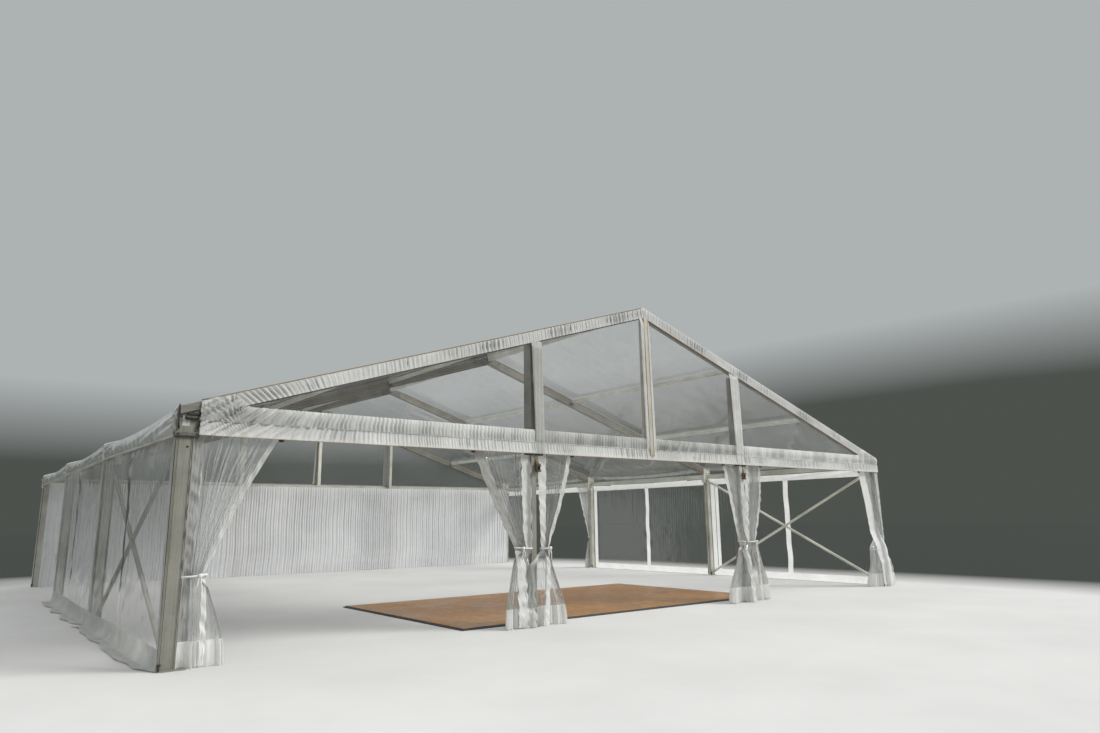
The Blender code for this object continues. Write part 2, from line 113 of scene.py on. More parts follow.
# %% Helpers for materials


def add_node(tree, kind, inputs=None, **options):
    """A node of this kind. An input is given as a value, or as a socket to link."""
    made = tree.nodes.new(kind)
    for name, value in options.items():
        setattr(made, name, value)
    for name, value in (inputs or {}).items():
        if isinstance(value, bpy.types.NodeSocket):
            tree.links.new(value, made.inputs[name])
        else:
            made.inputs[name].default_value = value
    return made


def new_finish(name, **values):
    """A material and its Principled shader, with plain values on the shader's own sockets."""
    made = bpy.data.materials.new(name)
    made.use_nodes = True
    shader = made.node_tree.nodes["Principled BSDF"]
    for socket, value in values.items():
        shader.inputs[socket.replace("_", " ")].default_value = value
    return made, made.node_tree, shader


def stretched_place(tree, stretch=(1.0, 1.0, 1.0), source="Object"):
    """Coordinates in metres, multiplied on each axis: a small number draws a pattern out."""
    place = add_node(tree, "ShaderNodeTexCoord").outputs[source]
    return add_node(tree, "ShaderNodeMapping", {"Vector": place, "Scale": stretch}).outputs["Vector"]


def noise(tree, place, scale, detail=3.0, roughness=0.55):
    inputs = {"Vector": place, "Scale": scale, "Detail": detail, "Roughness": roughness}
    return add_node(tree, "ShaderNodeTexNoise", inputs).outputs["Fac"]


def spread(tree, value, low, high, start=0.3, end=0.7):
    """Stretches a value that lies between start and end to run from low to high."""
    inputs = {"Value": value, "From Min": start, "From Max": end, "To Min": low, "To Max": high}
    return add_node(tree, "ShaderNodeMapRange", inputs).outputs["Result"]


def tones(tree, value, *stops):
    """Colour ramp: each stop is a place from 0 to 1 and a colour."""
    made = add_node(tree, "ShaderNodeValToRGB", {"Fac": value})
    elements = made.color_ramp.elements
    while len(elements) < len(stops):
        elements.new(0.5)
    for element, (place, colour) in zip(elements, stops):
        element.position = place
        element.color = (*colour, 1.0)
    return made.outputs["Color"]


def calculate(tree, operation, first, second):
    return add_node(tree, "ShaderNodeMath", {0: first, 1: second}, operation=operation).outputs[0]


def weighted_sum(tree, *parts):
    """Adds values up, each multiplied by its share."""
    total = None
    for value, share in parts:
        part = calculate(tree, "MULTIPLY", value, share)
        total = part if total is None else calculate(tree, "ADD", total, part)
    return total


def relief(tree, height, strength, depth, under=None):
    """Bump from a height of 0 to 1 that stands for this depth in metres."""
    inputs = {"Height": height, "Strength": strength, "Distance": depth}
    if under:
        inputs["Normal"] = under
    return add_node(tree, "ShaderNodeBump", inputs).outputs["Normal"]


def mix_in(tree, share, added):
    """Lays a second shader over the one that reaches the output."""
    surface = tree.nodes["Material Output"].inputs["Surface"]
    first = surface.links[0].from_socket
    mixed = add_node(tree, "ShaderNodeMixShader", {0: share, 1: first, 2: added})
    tree.links.new(mixed.outputs[0], surface)


print("Material helpers are ready")

# %% [markdown]
# ## Mill-finish aluminium
#
# The bars are aluminium straight from the press: a soft grey with a hint of brown, dull from
# years of handling, with faint draw lines along the bar and darker stains. A brushed look could
# come from anisotropy, but the real bars are too worn for that. Noise that is stretched along the
# bar gives the draw lines, so each direction of bar has its own version of the finish. Each version
# also has its own shade and tint, and these are painted light: the rafters, the front of the gable
# and the left cross brace are shaded copies, painted darker. The inner legs, the king posts, the
# beams along the tent and the right cross brace are lit copies, painted paler, and less metallic,
# so that the dark backdrop shows less in them.

# %% Aluminium
DRAW_LINES = 60.0  # per metre, across the bar
STAINS = 1.6  # per metre
LINE_SHARE = 0.4  # of the tone, and the stains give the rest
METAL_TONES = ((0.32, (0.20, 0.195, 0.16)), (0.5, (0.32, 0.315, 0.27)), (0.68, (0.44, 0.43, 0.39)))


def aluminium_finish(name, along, shade=1.0, tint=(1.0, 1.0, 1.0), metallic=0.45):
    """along is the axis, 0 to 2, that the bar runs in."""
    made, tree, shader = new_finish(name, Metallic=metallic)
    stretch = [1.0 if axis == along else DRAW_LINES for axis in range(3)]
    lines = noise(tree, stretched_place(tree, stretch), 1.0, 4.0)
    stains = noise(tree, stretched_place(tree), STAINS, 5.0, 0.65)
    mixed = weighted_sum(tree, (lines, LINE_SHARE), (stains, 1 - LINE_SHARE))
    stops = [(place, [shade * v * t for v, t in zip(colour, tint)]) for place, colour in METAL_TONES]
    tree.links.new(tones(tree, mixed, *stops), shader.inputs["Base Color"])
    tree.links.new(spread(tree, stains, 0.62, 0.42), shader.inputs["Roughness"])
    tree.links.new(relief(tree, lines, 0.25, 0.002), shader.inputs["Normal"])
    return made


# The shades below are painted light: low ones are shaded copies of the aluminium, high ones lit copies.
UPRIGHT_METAL = aluminium_finish("aluminium_upright", 2, 0.80)
RAFTER_METAL = aluminium_finish("aluminium_rafter", 0, 0.57)
BEAM_METAL = aluminium_finish("aluminium_beam", 1, 1.9, (0.96, 1.0, 1.03), 0.3)
PALE_METAL = aluminium_finish("aluminium_pale", 2, 1.6, (1.0, 1.0, 1.03), 0.15)
COVER_METAL = aluminium_finish("aluminium_cover", 2, 1.35, (1.07, 1.0, 0.98), 0.2)
BRACE_METAL = aluminium_finish("aluminium_brace", 1, 2.0, (1.0, 1.0, 1.02), 0.25)
LIT_PAINTED_METAL = aluminium_finish("aluminium_painted_lit", 2, 2.0, (1.0, 1.0, 1.03), 0.1)


def give_finish(material, *starts):
    """Puts one material on each CAD node whose name starts with one of these words."""
    count = 0
    for name, piece in cad_nodes.items():
        if name.startswith(starts):
            piece.data.materials.clear()
            piece.data.materials.append(material)
            count += 1
    return count


# Painted light: the gable's front, the rafters and the left brace get shaded copies, and the inner legs,
# king posts, beams and right brace get lit copies.
bars = give_finish(UPRIGHT_METAL, "leg_1", "front_upright")
bars += give_finish(PALE_METAL, "leg_2_left", "leg_3_left", "leg_4", "back_upright", "back_transom")
bars += give_finish(LIT_PAINTED_METAL, "leg_2_right", "leg_3_right", "front_king", "back_king")
bars += give_finish(RAFTER_METAL, "rafter_", "front_transom")
bars += give_finish(BEAM_METAL, "ridge_beam", "upper_purlin", "lower_purlin", "eave_beam")
bars += give_finish(BRACE_METAL, "cross_brace_right") + give_finish(UPRIGHT_METAL, "cross_brace_left")
print(bars, "bars have an aluminium finish")

# %% [markdown]
# ## Clear film
#
# The roof and walls are clear plastic half a millimetre thick. Seen square on it is almost
# invisible, with a little haze. Seen along its length it turns into a mirror. Glass with real
# refraction would treat the sheet as a solid block, so the film is a thin surface instead, whose
# alpha grows with the angle of view, under a mirror layer that glints. Old film is never flat:
# low noise on the surface gives the long soft creases that the sky glints in. Blotches and
# streaks make it milkier in places, and scuffs take away some of its gloss.
#
# Each place has its own version. The film of a narrow curtain lies in many layers, so it is
# denser than that of a wide one, and the film at the edges of the roof is hazier than its middle.
# The flap at the left eave is dense and pale with a weak mirror: a painted reflection of the sky.

# %% Clear film
FILM_IOR = 1.45
BLOTCHED = (0.7, 1.35)  # the alpha is multiplied by this, from the clearest to the milkiest place
SCUFFED = (-0.02, 0.05)  # and this is added to it where the film is scuffed


def film_finish(
    name, seen, colour, crease, mirror=1.3, gloss=(0.08, 0.22), source="Object", streaky=0.3
):
    """seen is the alpha square on and edge on, crease the stretch, scale and depth, mirror the glint."""
    made, tree, shader = new_finish(name, IOR=FILM_IOR)
    (haze, glancing), (stretch, crease_scale, depth) = seen, crease
    drawn_out = stretched_place(tree, stretch, source)
    made.surface_render_method = "BLENDED"
    blotches = noise(tree, stretched_place(tree), 0.45, 4.0, 0.6)
    scuffs = noise(tree, stretched_place(tree), 9.0, 5.0, 0.7)
    streaks = noise(tree, drawn_out, crease_scale * 2.5, 3.0, 0.6)
    edge_on = add_node(tree, "ShaderNodeLayerWeight", {"Blend": 0.35}).outputs["Facing"]
    clear = spread(tree, edge_on, haze, glancing, 0.05, 1.0)
    clouded = calculate(tree, "MULTIPLY", clear, spread(tree, blotches, *BLOTCHED))
    clouded = calculate(tree, "MULTIPLY", clouded, spread(tree, streaks, 1 - streaky, 1 + streaky))
    alpha = calculate(tree, "ADD", clouded, spread(tree, scuffs, *SCUFFED, 0.35, 0.75))
    shade = [0.8 * value for value in colour]
    tree.links.new(tones(tree, blotches, (0.3, shade), (0.7, colour)), shader.inputs["Base Color"])
    tree.links.new(alpha, shader.inputs["Alpha"])
    rough = spread(tree, scuffs, *gloss)
    tree.links.new(rough, shader.inputs["Roughness"])
    creases = noise(tree, drawn_out, crease_scale, 4.0, 0.6)
    bent = relief(tree, creases, 0.8, depth)
    tree.links.new(bent, shader.inputs["Normal"])
    glint = add_node(tree, "ShaderNodeBsdfGlossy", {"Roughness": rough, "Normal": bent})
    fresnel = add_node(tree, "ShaderNodeFresnel", {"IOR": FILM_IOR, "Normal": bent}).outputs[0]
    mix_in(tree, calculate(tree, "MULTIPLY", fresnel, mirror), glint.outputs[0])
    return made


ROOF_CREASES = ((0.35, 1.2, 1.0), 2.0, 0.014)
WALL_CREASES = ((1.0, 4.0, 0.5), 2.5, 0.012)
EVEN_CREASES = ((1.0, 1.0, 1.0), 2.0, 0.014)
DRAPED_CREASES = ((9.0, 0.5, 1.0), 2.0, 0.004)  # in the cloth's own metres, across and down
ROOF_FILM = film_finish("roof_film", (0.09, 0.30), (0.50, 0.53, 0.51), ROOF_CREASES, 1.0, (0.04, 0.14))
EDGE_FILM = film_finish("roof_edge_film", (0.45, 0.80), (0.60, 0.62, 0.61), EVEN_CREASES)
# The flap's pale, dense film is a painted reflection of the sky, so its mirror is kept weak.
FLAP_FILM = film_finish("eave_flap_film", (0.60, 0.85), (0.84, 0.85, 0.83), EVEN_CREASES, 0.25)
GABLE_FILM = film_finish("gable_film", (0.04, 0.4), (0.58, 0.60, 0.59), EVEN_CREASES)
WALL_FILM = film_finish("wall_film", (0.08, 0.30), (0.74, 0.76, 0.74), WALL_CREASES, 0.22)
CLEAR_WALL_FILM = film_finish("clear_wall_film", (0.01, 0.07), (0.45, 0.47, 0.45), EVEN_CREASES, 0.15)
CURTAIN_FILM = film_finish(
    "curtain_film", (0.22, 0.68), (0.76, 0.78, 0.76), DRAPED_CREASES, 0.7, source="UV", streaky=0.7
)
GATHERED_FILM = film_finish(
    "gathered_film", (0.44, 0.85), (0.80, 0.82, 0.80), DRAPED_CREASES, 0.5, source="UV", streaky=0.5
)
print("Clear film has", len([m for m in bpy.data.materials if m.name.endswith("film")]), "finishes")

# %% [markdown]
# ## White coated fabric
#
# Valances, borders and skirts are a white coated weave. It is never pure white: dust settles in
# it, the threads give a fine grain, and it has handling marks. The weave is two fine waves that
# cross, at one thread a millimetre, used as bump only, because its colour is the same all over.
# Daylight comes through the cloth as well, so a part of each finish is a translucent shader, which
# makes a band glow when the sky is behind it. One cloth in one shade would look new and flat. The
# real parts were made and washed at different times, and some are dusty, so the whites differ. Some
# of the ten shades are also painted light: darker copies are painted shade, for parts in shade or
# turned away from the light, and one bright copy is painted light, for borders turned to it.

# %% White fabric
THREADS = 1000.0  # per metre
WAVE_LENGTH = math.tau / 20  # of a wave texture at scale 1
WEAVE_DEPTH = 0.0004
WRINKLE_DEPTH = 0.012
DUST_SHARE = 0.75  # of the tone, and handling marks give the rest
LET_THROUGH = 0.35


def fabric_finish(name, clean, dusty, dust_scale=1.1, let_through=LET_THROUGH, roughness=0.62):
    made, tree, shader = new_finish(name, Roughness=roughness, Sheen_Weight=0.15, Sheen_Roughness=0.5)
    dust = noise(tree, stretched_place(tree), dust_scale, 6.0, 0.7)
    marks = noise(tree, stretched_place(tree), 22.0, 3.0, 0.6)
    blend = weighted_sum(tree, (dust, DUST_SHARE), (marks, 1 - DUST_SHARE))
    colour = tones(tree, blend, (0.36, dusty), (0.62, clean))
    tree.links.new(colour, shader.inputs["Base Color"])
    flat = add_node(tree, "ShaderNodeUVMap").outputs["UV"]
    waves = []
    for direction in ("X", "Y"):
        inputs = {"Vector": flat, "Scale": THREADS * WAVE_LENGTH, "Distortion": 0.3}
        wave = add_node(tree, "ShaderNodeTexWave", inputs, bands_direction=direction)
        waves.append(wave.outputs["Fac"])
    grain = relief(tree, calculate(tree, "MULTIPLY", *waves), 0.15, WEAVE_DEPTH)
    wrinkles = noise(tree, stretched_place(tree), 14.0, 4.0, 0.65)
    bent = relief(tree, wrinkles, 0.35, WRINKLE_DEPTH, grain)
    tree.links.new(bent, shader.inputs["Normal"])
    glow = add_node(tree, "ShaderNodeBsdfTranslucent", {"Color": colour, "Normal": bent})
    mix_in(tree, let_through, glow.outputs[0])
    return made


# Painted shade and light: the valance's upper and middle whites, the strip's white and the darkest white
# are shaded copies, and the brightest white is a lit copy on curtain borders, besides being the white of
# the curtains' feet.
VALANCE_WHITE = fabric_finish("valance_white", (0.87, 0.875, 0.855), (0.66, 0.665, 0.64))
UPPER_SHADED_WHITE = fabric_finish("valance_upper_painted_shade", (0.77, 0.78, 0.755), (0.57, 0.575, 0.55))
MIDDLE_SHADED_WHITE = fabric_finish("valance_middle_painted_shade", (0.58, 0.585, 0.565), (0.43, 0.435, 0.41))
BORDER_WHITE = fabric_finish("border_white", (0.84, 0.84, 0.82), (0.62, 0.62, 0.59), 1.8)
STRIP_SHADED_WHITE = fabric_finish("strip_painted_shade", (0.54, 0.545, 0.52), (0.44, 0.44, 0.41), 1.8)
PAINTED_SHADE_WHITE = fabric_finish("painted_shade_white", (0.44, 0.445, 0.425), (0.32, 0.32, 0.30), 2.6)
WALL_WHITE = fabric_finish("wall_white", (0.92, 0.92, 0.91), (0.80, 0.80, 0.78), 1.8, 0.7)
SKIRT_WHITE = fabric_finish("skirt_white", (0.62, 0.625, 0.60), (0.45, 0.45, 0.425), 2.2)
FOOT_AND_LIT_WHITE = fabric_finish("foot_and_painted_lit_white", (0.94, 0.94, 0.93), (0.84, 0.84, 0.82), 1.8, 0.45)
LINING_WHITE = fabric_finish("lining_white", (0.82, 0.825, 0.83), (0.70, 0.705, 0.71), 0.7)
print("White fabric in ten shades")

# %% [markdown]
# ## Small metal, rope and webbing
#
# Hooks, bolts and brackets are galvanised or painted steel, the gussets at the leg heads are a
# little rusty, the ratchets are yellow-passivated, and the sheets are edged with a tan rope. They
# are small in the picture, so one noise for the colour, the gloss and the relief is enough.

# %% Small finishes


def speckled_finish(name, dark, light, metallic, roughness, scale=30.0):
    made, tree, shader = new_finish(name, Metallic=metallic)
    grime = noise(tree, stretched_place(tree), scale, 4.0, 0.65)
    tree.links.new(tones(tree, grime, (0.35, dark), (0.65, light)), shader.inputs["Base Color"])
    tree.links.new(spread(tree, grime, roughness + 0.12, roughness - 0.08), shader.inputs["Roughness"])
    tree.links.new(relief(tree, grime, 0.3, 0.001), shader.inputs["Normal"])
    return made


DARK_STEEL = speckled_finish("dark_steel", (0.025, 0.024, 0.02), (0.07, 0.067, 0.058), 0.5, 0.55)
GREY_STEEL = speckled_finish("grey_steel", (0.10, 0.10, 0.085), (0.19, 0.185, 0.165), 0.6, 0.5)
YELLOW_STEEL = speckled_finish("yellow_steel", (0.13, 0.08, 0.035), (0.34, 0.24, 0.12), 0.6, 0.42)
EDGE_ROPE = speckled_finish("edge_rope", (0.22, 0.15, 0.09), (0.38, 0.29, 0.19), 0.0, 0.8, 60.0)
GROOVE_SHADE = speckled_finish("groove_shade", (0.10, 0.098, 0.08), (0.15, 0.145, 0.12), 0.3, 0.6)
RUSTY_STEEL = speckled_finish("rusty_steel", (0.11, 0.072, 0.05), (0.22, 0.155, 0.11), 0.2, 0.7)
WEBBING = speckled_finish("webbing", (0.62, 0.62, 0.58), (0.76, 0.76, 0.73), 0.0, 0.75, 80.0)
print("Seven small finishes")

# %% [markdown]
# ## The places on the frame
#
# Everything that follows hangs on the frame, so its places are read from the CAD nodes once. A
# gable is drawn as if it were the front one: a point is a distance across, a distance out of the
# gable's face, and a height. Turning that half round gives the back gable, so each gable piece is
# written only once.

# %% Places on the frame
SIDES = {"left": -1, "right": 1}
GABLES = {"front": 1, "back": 4}  # the number of the frame that each gable hangs on
BAR_WIDTH, BAR_DEPTH = 0.09, 0.18  # the box section of legs, rafters and uprights


def middle_of(node):
    low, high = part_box(node)
    return (low + high) / 2


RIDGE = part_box("roof_sheet_1_right")[1].z
HALF_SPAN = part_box("roof_sheet_1_right")[1].x
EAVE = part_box("eave_band_right")[1].z + 0.004  # the band ends just under the roof sheet
SLOPE = (RIDGE - EAVE) / HALF_SPAN
PITCH = math.atan(SLOPE)
GABLE_FACE = -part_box("front_gable_sheet")[0].y
GABLE_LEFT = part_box("front_valance")[0].x
VALANCE_BOTTOM, VALANCE_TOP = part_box("front_valance")[0].z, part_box("front_valance")[1].z
VALANCE_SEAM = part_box("front_gable_sheet")[0].z
BAY_EDGES = [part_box(f"roof_sheet_{bay}_right")[0].y for bay in (1, 2, 3)]
BAY_EDGES.append(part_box("roof_sheet_3_right")[1].y)
FRAME_Y = [middle_of(f"rafter_{number}_right").y for number in (1, 2, 3, 4)]
PURLIN_X = [middle_of(f"{name}_purlin_right").x for name in ("upper", "lower")]
WALL_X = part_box("side_wall_1_right")[1].x
WALL_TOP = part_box("side_wall_1_right")[1].z
LEG_OUTER, LEG_INNER = HALF_SPAN, HALF_SPAN - BAR_DEPTH


def roof_height(x):
    return RIDGE - SLOPE * np.abs(x)


def on_gable(gable, across, out, height):
    """World place of a point drawn on the front gable, or on the back one turned half round."""
    if gable == "front":
        return across, -(GABLE_FACE + out), height
    return -across, GABLE_FACE + out, height


print("Ridge", round(RIDGE, 3), "eave", round(EAVE, 3), "bay edges", [round(y, 2) for y in BAY_EDGES])
print("Frames at", [round(y, 2) for y in FRAME_Y], "purlins at", [round(x, 2) for x in PURLIN_X])

# %% [markdown]
# ## A sheet of cloth from two numbers
#
# All the soft parts are sheets. A sheet can be simulated, or its folds can be written down as a
# shape. Film that hangs from a rail and is tied at the waist folds in a regular way, so here it is
# written down: `u` runs across the cloth and `v` down it, both from 0 to 1, and a function turns
# them into places. One helper makes the grid of faces, picks the material of each face, and keeps
# the flat size in metres as UVs for the weave.
#
# Real folds are uneven. `ripple` adds a few waves of nearly the same length, which drift in and
# out of step. `crumple` does the same in two directions for wrinkles.

# %% Helpers for cloth


def ripple(distance, pitch, seed, uneven=0.3):
    """Irregular wave along a distance in metres, mostly between -1 and 1."""
    dice = np.random.default_rng(seed)
    wave = 0.0
    for _ in range(4):
        length = pitch * dice.uniform(1 - uneven, 1 + uneven)
        wave = wave + np.sin(math.tau * distance / length + dice.uniform(0, math.tau))
    return wave / 2.4


def crumple(first, second, size, seed):
    """Wrinkles over two directions, in metres."""
    dice = np.random.default_rng(seed)
    wave = 0.0
    for _ in range(7):
        angle = dice.uniform(0, math.pi)
        length = size * dice.uniform(0.6, 1.8)
        along = first * math.cos(angle) + second * math.sin(angle)
        wave = wave + np.sin(math.tau * along / length + dice.uniform(0, math.tau))
    return wave / 3.2


def ease(start, end, value):
    """0 before start, 1 after end, and a smooth rise between them."""
    share = np.clip((value - start) / (end - start), 0, 1)
    return share * share * (3 - 2 * share)


def between(first, second, share):
    return first + (second - first) * share


def lay_cloth(name, shape, columns, rows, materials, zone=None):
    """Sheet of columns by rows faces. shape(u, v) gives the places, zone(u, v) the material's number."""
    u, v = np.meshgrid(np.linspace(0, 1, columns + 1), np.linspace(0, 1, rows + 1))
    points = np.stack(np.broadcast_arrays(*shape(u, v)), axis=-1)
    corner = np.arange((rows + 1) * (columns + 1)).reshape(rows + 1, columns + 1)
    loops = [corner[:-1, :-1], corner[1:, :-1], corner[1:, 1:], corner[:-1, 1:]]
    faces = np.stack(loops, axis=-1).reshape(-1, 4)
    mesh = bpy.data.meshes.new(name)
    mesh.from_pydata(points.reshape(-1, 3).tolist(), [], faces.tolist())
    for material in materials:
        mesh.materials.append(material)
    if zone:
        middle = [(grid[:-1, :-1] + grid[1:, 1:]) / 2 for grid in (u, v)]
        numbers = np.broadcast_to(zone(*middle), middle[0].shape).astype(np.int32)
        mesh.polygons.foreach_set("material_index", numbers.ravel())
    mesh.polygons.foreach_set("use_smooth", np.ones(len(faces), dtype=bool))
    steps = np.linalg.norm(np.diff(points, axis=1), axis=2).sum(axis=1)
    drops = np.linalg.norm(np.diff(points, axis=0), axis=2).sum(axis=0)
    width, height = float(steps.mean()), float(drops.mean())
    flat = np.stack([u * width, v * height], axis=-1).reshape(-1, 2)
    uv = mesh.uv_layers.new(name="UVMap")
    uv.data.foreach_set("uv", flat[faces.ravel()].astype(np.float32).ravel())
    made = bpy.data.objects.new(name, mesh)
    bpy.context.scene.collection.objects.link(made)
    made["flat_width"], made["flat_height"] = width, height
    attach(made, "root")
    return made


def declare_sheet(piece, held, rests_on, *replaced):
    """Hides the CAD parts the sheet replaces, and gives its name and flat size. held and rests_on are not
    used.
    """
    flat = (round(piece["flat_width"], 2), round(piece["flat_height"], 2))
    if replaced:
        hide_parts(*replaced)
    return f"{piece.name} {flat[0]} x {flat[1]} m"


print("Cloth helpers are ready")

# %% [markdown]
# ## Solid bits from boxes and tubes
#
# The hardware is small: rails, hooks, bolts, plates, ropes. Each bit is a box or a tube along a
# few points, added into one bmesh, so that a whole fitting is a single piece. A bevel modifier
# then rounds the edges.

# %% Helpers for hardware


def add_box(shape, low, high, turn=None):
    """Box between two corners, turned about its middle if a matrix is given."""
    low, high = Vector(low), Vector(high)
    middle = Matrix.Translation((low + high) / 2)
    size = Matrix.Diagonal((*(high - low), 1.0))
    made = bmesh.ops.create_cube(shape, size=1.0)
    matrix = middle @ (turn.to_4x4() if turn else Matrix.Identity(4)) @ size
    bmesh.ops.transform(shape, matrix=matrix, verts=made["verts"])


def add_box_between(shape, first, second):
    """Box between two opposite corners, whichever is the lower one on an axis."""
    pairs = list(zip(first, second))
    add_box(shape, [min(pair) for pair in pairs], [max(pair) for pair in pairs])


def add_gable_box(shape, gable, across, out, height):
    """Box on a gable, from pairs of values for its width, its distance out and its height."""
    first = on_gable(gable, across[0], out[0], height[0])
    second = on_gable(gable, across[1], out[1], height[1])
    add_box_between(shape, first, second)


def add_tube(shape, points, radius, sides=8):
    """Tube through some points, with closed ends."""
    points = [Vector(point) for point in points]
    rings = []
    for i, point in enumerate(points):
        ahead = points[min(i + 1, len(points) - 1)] - points[max(i - 1, 0)]
        turn = ahead.to_track_quat("Z", "Y")
        ring = []
        for step in range(sides):
            angle = math.tau * step / sides
            spoke = Vector((math.cos(angle), math.sin(angle), 0.0)) * radius
            ring.append(shape.verts.new(point + turn @ spoke))
        rings.append(ring)
    for first, second in zip(rings, rings[1:]):
        for step in range(sides):
            after = (step + 1) % sides
            shape.faces.new((first[step], first[after], second[after], second[step]))
    shape.faces.new(list(reversed(rings[0])))
    shape.faces.new(rings[-1])


def finish_solid(name, shape, material, bevel=0.0, smooth=False):
    """Turns a bmesh into a piece that rides on the frame."""
    bmesh.ops.recalc_face_normals(shape, faces=shape.faces)
    mesh = bpy.data.meshes.new(name)
    shape.to_mesh(mesh)
    shape.free()
    mesh.materials.append(material)
    for face in mesh.polygons:
        face.use_smooth = smooth
    made = bpy.data.objects.new(name, mesh)
    bpy.context.scene.collection.objects.link(made)
    if bevel:
        rounding = made.modifiers.new("rounded_edges", "BEVEL")
        rounding.width = bevel
        rounding.segments = 2
        rounding.limit_method = "ANGLE"
    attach(made, "root")
    return made


print("Hardware helpers are ready")

# %% [markdown]
# ## Grooves along the bars
#
# The box section has a slot near each edge of its faces, which takes the rope edge of a sheet. On
# the legs they show as pairs of fine lines. A slot is a dark strip of painted shade between two thin
# lips, laid on the face of the bar. Legs and rafters get the same groove from one function. In the
# rafters the tan rope of the roof sheets fills the slot, so its strip has the rope's finish there.

# %% Grooves
LIP, SLOT_WIDTH = 0.006, 0.009
LIP_PROUD, SLOT_PROUD = 0.003, 0.001  # how far they stand out of the bar's face
LEG_GROOVE_INSET = 0.022  # from the edges of the wide faces
INNER_GROOVE_SHIFT = 0.028  # from the middle of the narrow faces
RAFTER_GROOVE_DROPS = (0.035, 0.155)  # under the roof line
RAFTER_GROOVE_ENDS = (7.27, 0.06)  # places across, by the eave and by the ridge
LEG_GROOVE_FOOT = 0.02


def add_groove(lips, slots, start, end, out, across):
    """Groove from start to end on a face that looks along out."""
    start, end, out, across = (Vector(v) for v in (start, end, out, across))
    run = (end - start).normalized()
    turn = Matrix((across, out, run)).transposed()
    length = (end - start).length
    step = (SLOT_WIDTH + LIP) / 2
    two_lips = ((lips, -step, LIP, LIP_PROUD), (lips, step, LIP, LIP_PROUD))
    for shape, shift, width, proud in (*two_lips, (slots, 0.0, SLOT_WIDTH, SLOT_PROUD)):
        half = Vector((width, proud, length)) / 2
        centre = (start + end) / 2 + across * shift + out * proud / 2
        add_box(shape, centre - half, centre + half, turn)


def leg_grooves(lips, slots, sign, y):
    foot, head = LEG_GROOVE_FOOT, WALL_TOP
    for face in (-1, 1):
        for x in (LEG_OUTER - LEG_GROOVE_INSET, LEG_INNER + LEG_GROOVE_INSET):
            place = (sign * x, y + face * BAR_WIDTH / 2)
            add_groove(lips, slots, (*place, foot), (*place, head), (0, face, 0), (1, 0, 0))
        place = (sign * LEG_INNER, y + face * INNER_GROOVE_SHIFT)
        add_groove(lips, slots, (*place, foot), (*place, head), (-sign, 0, 0), (0, 1, 0))


def rafter_grooves(lips, slots, sign, y, face):
    for drop in RAFTER_GROOVE_DROPS:
        ends = [
            Vector((sign * x, y + face * BAR_WIDTH / 2, float(roof_height(x)) - drop))
            for x in RAFTER_GROOVE_ENDS
        ]
        out = Vector((0, face, 0))
        run = (ends[1] - ends[0]).normalized()
        add_groove(lips, slots, *ends, out, out.cross(run))


def inner_faces():
    """Faces of the frames seen from inside: place along the tent, and sign of the way each looks."""
    for y in FRAME_Y:
        for face in (-1, 1):
            a_step_away = abs(y + face)
            if a_step_away < FRAME_Y[-1]:
                yield y, face


lips, slots, filled = bmesh.new(), bmesh.new(), bmesh.new()
for sign in SIDES.values():
    for y in FRAME_Y:
        leg_grooves(lips, slots, sign, y)
    for y, face in inner_faces():
        rafter_grooves(lips, filled, sign, y, face)
for made in (
    finish_solid("bar_lips", lips, UPRIGHT_METAL),
    finish_solid("bar_slots", slots, GROOVE_SHADE),
    finish_solid("rafter_ropes", filled, EDGE_ROPE),
):
    print(made.name, len(made.data.polygons), "faces")

# %% [markdown]
# ## The roof sheets
#
# Each bay has one clear sheet on each slope, held along its edges in the frames. Between the
# frames it sags a few centimetres, takes long creases down the slope, and at the eave it droops
# over the beam. The sag is a smooth hump that is nought at the held edges, and the creases are
# ripples whose lines run down the slope. On the purlins it lies almost flat, because they carry it.
# Along the frames the sheet has a narrow white edge, and along the eave a band of hazier film.

# %% Roof sheets
ROOF_SAG = 0.035
ROOF_CREASE = 0.008
ROOF_CREASE_PITCH = 0.55
CARRIED = 0.75  # share of the sag and the creases that a purlin takes away
CARRIED_WIDTH = 0.25
FROM_RIDGE = 0.002  # a sheet starts this far from the middle
EAVE_DROOP = 0.085
DROOP_REACH = 0.45  # how far up from the eave the sheet droops
EAVE_BORDER = 0.20
WHITE_EDGE = 0.05  # width of the welded white edge of a clear sheet


def eave_edge(along):
    """Height of the roof's edge between the frames, at this distance along the tent."""
    edges = np.asarray(BAY_EDGES)
    bay = np.clip(np.searchsorted(edges, along, side="right") - 1, 0, 2)
    share = np.clip((along - edges[bay]) / (edges[bay + 1] - edges[bay]), 0, 1)
    return EAVE - EAVE_DROOP * np.clip(np.sin(np.pi * share), 0, 1) ** 0.7


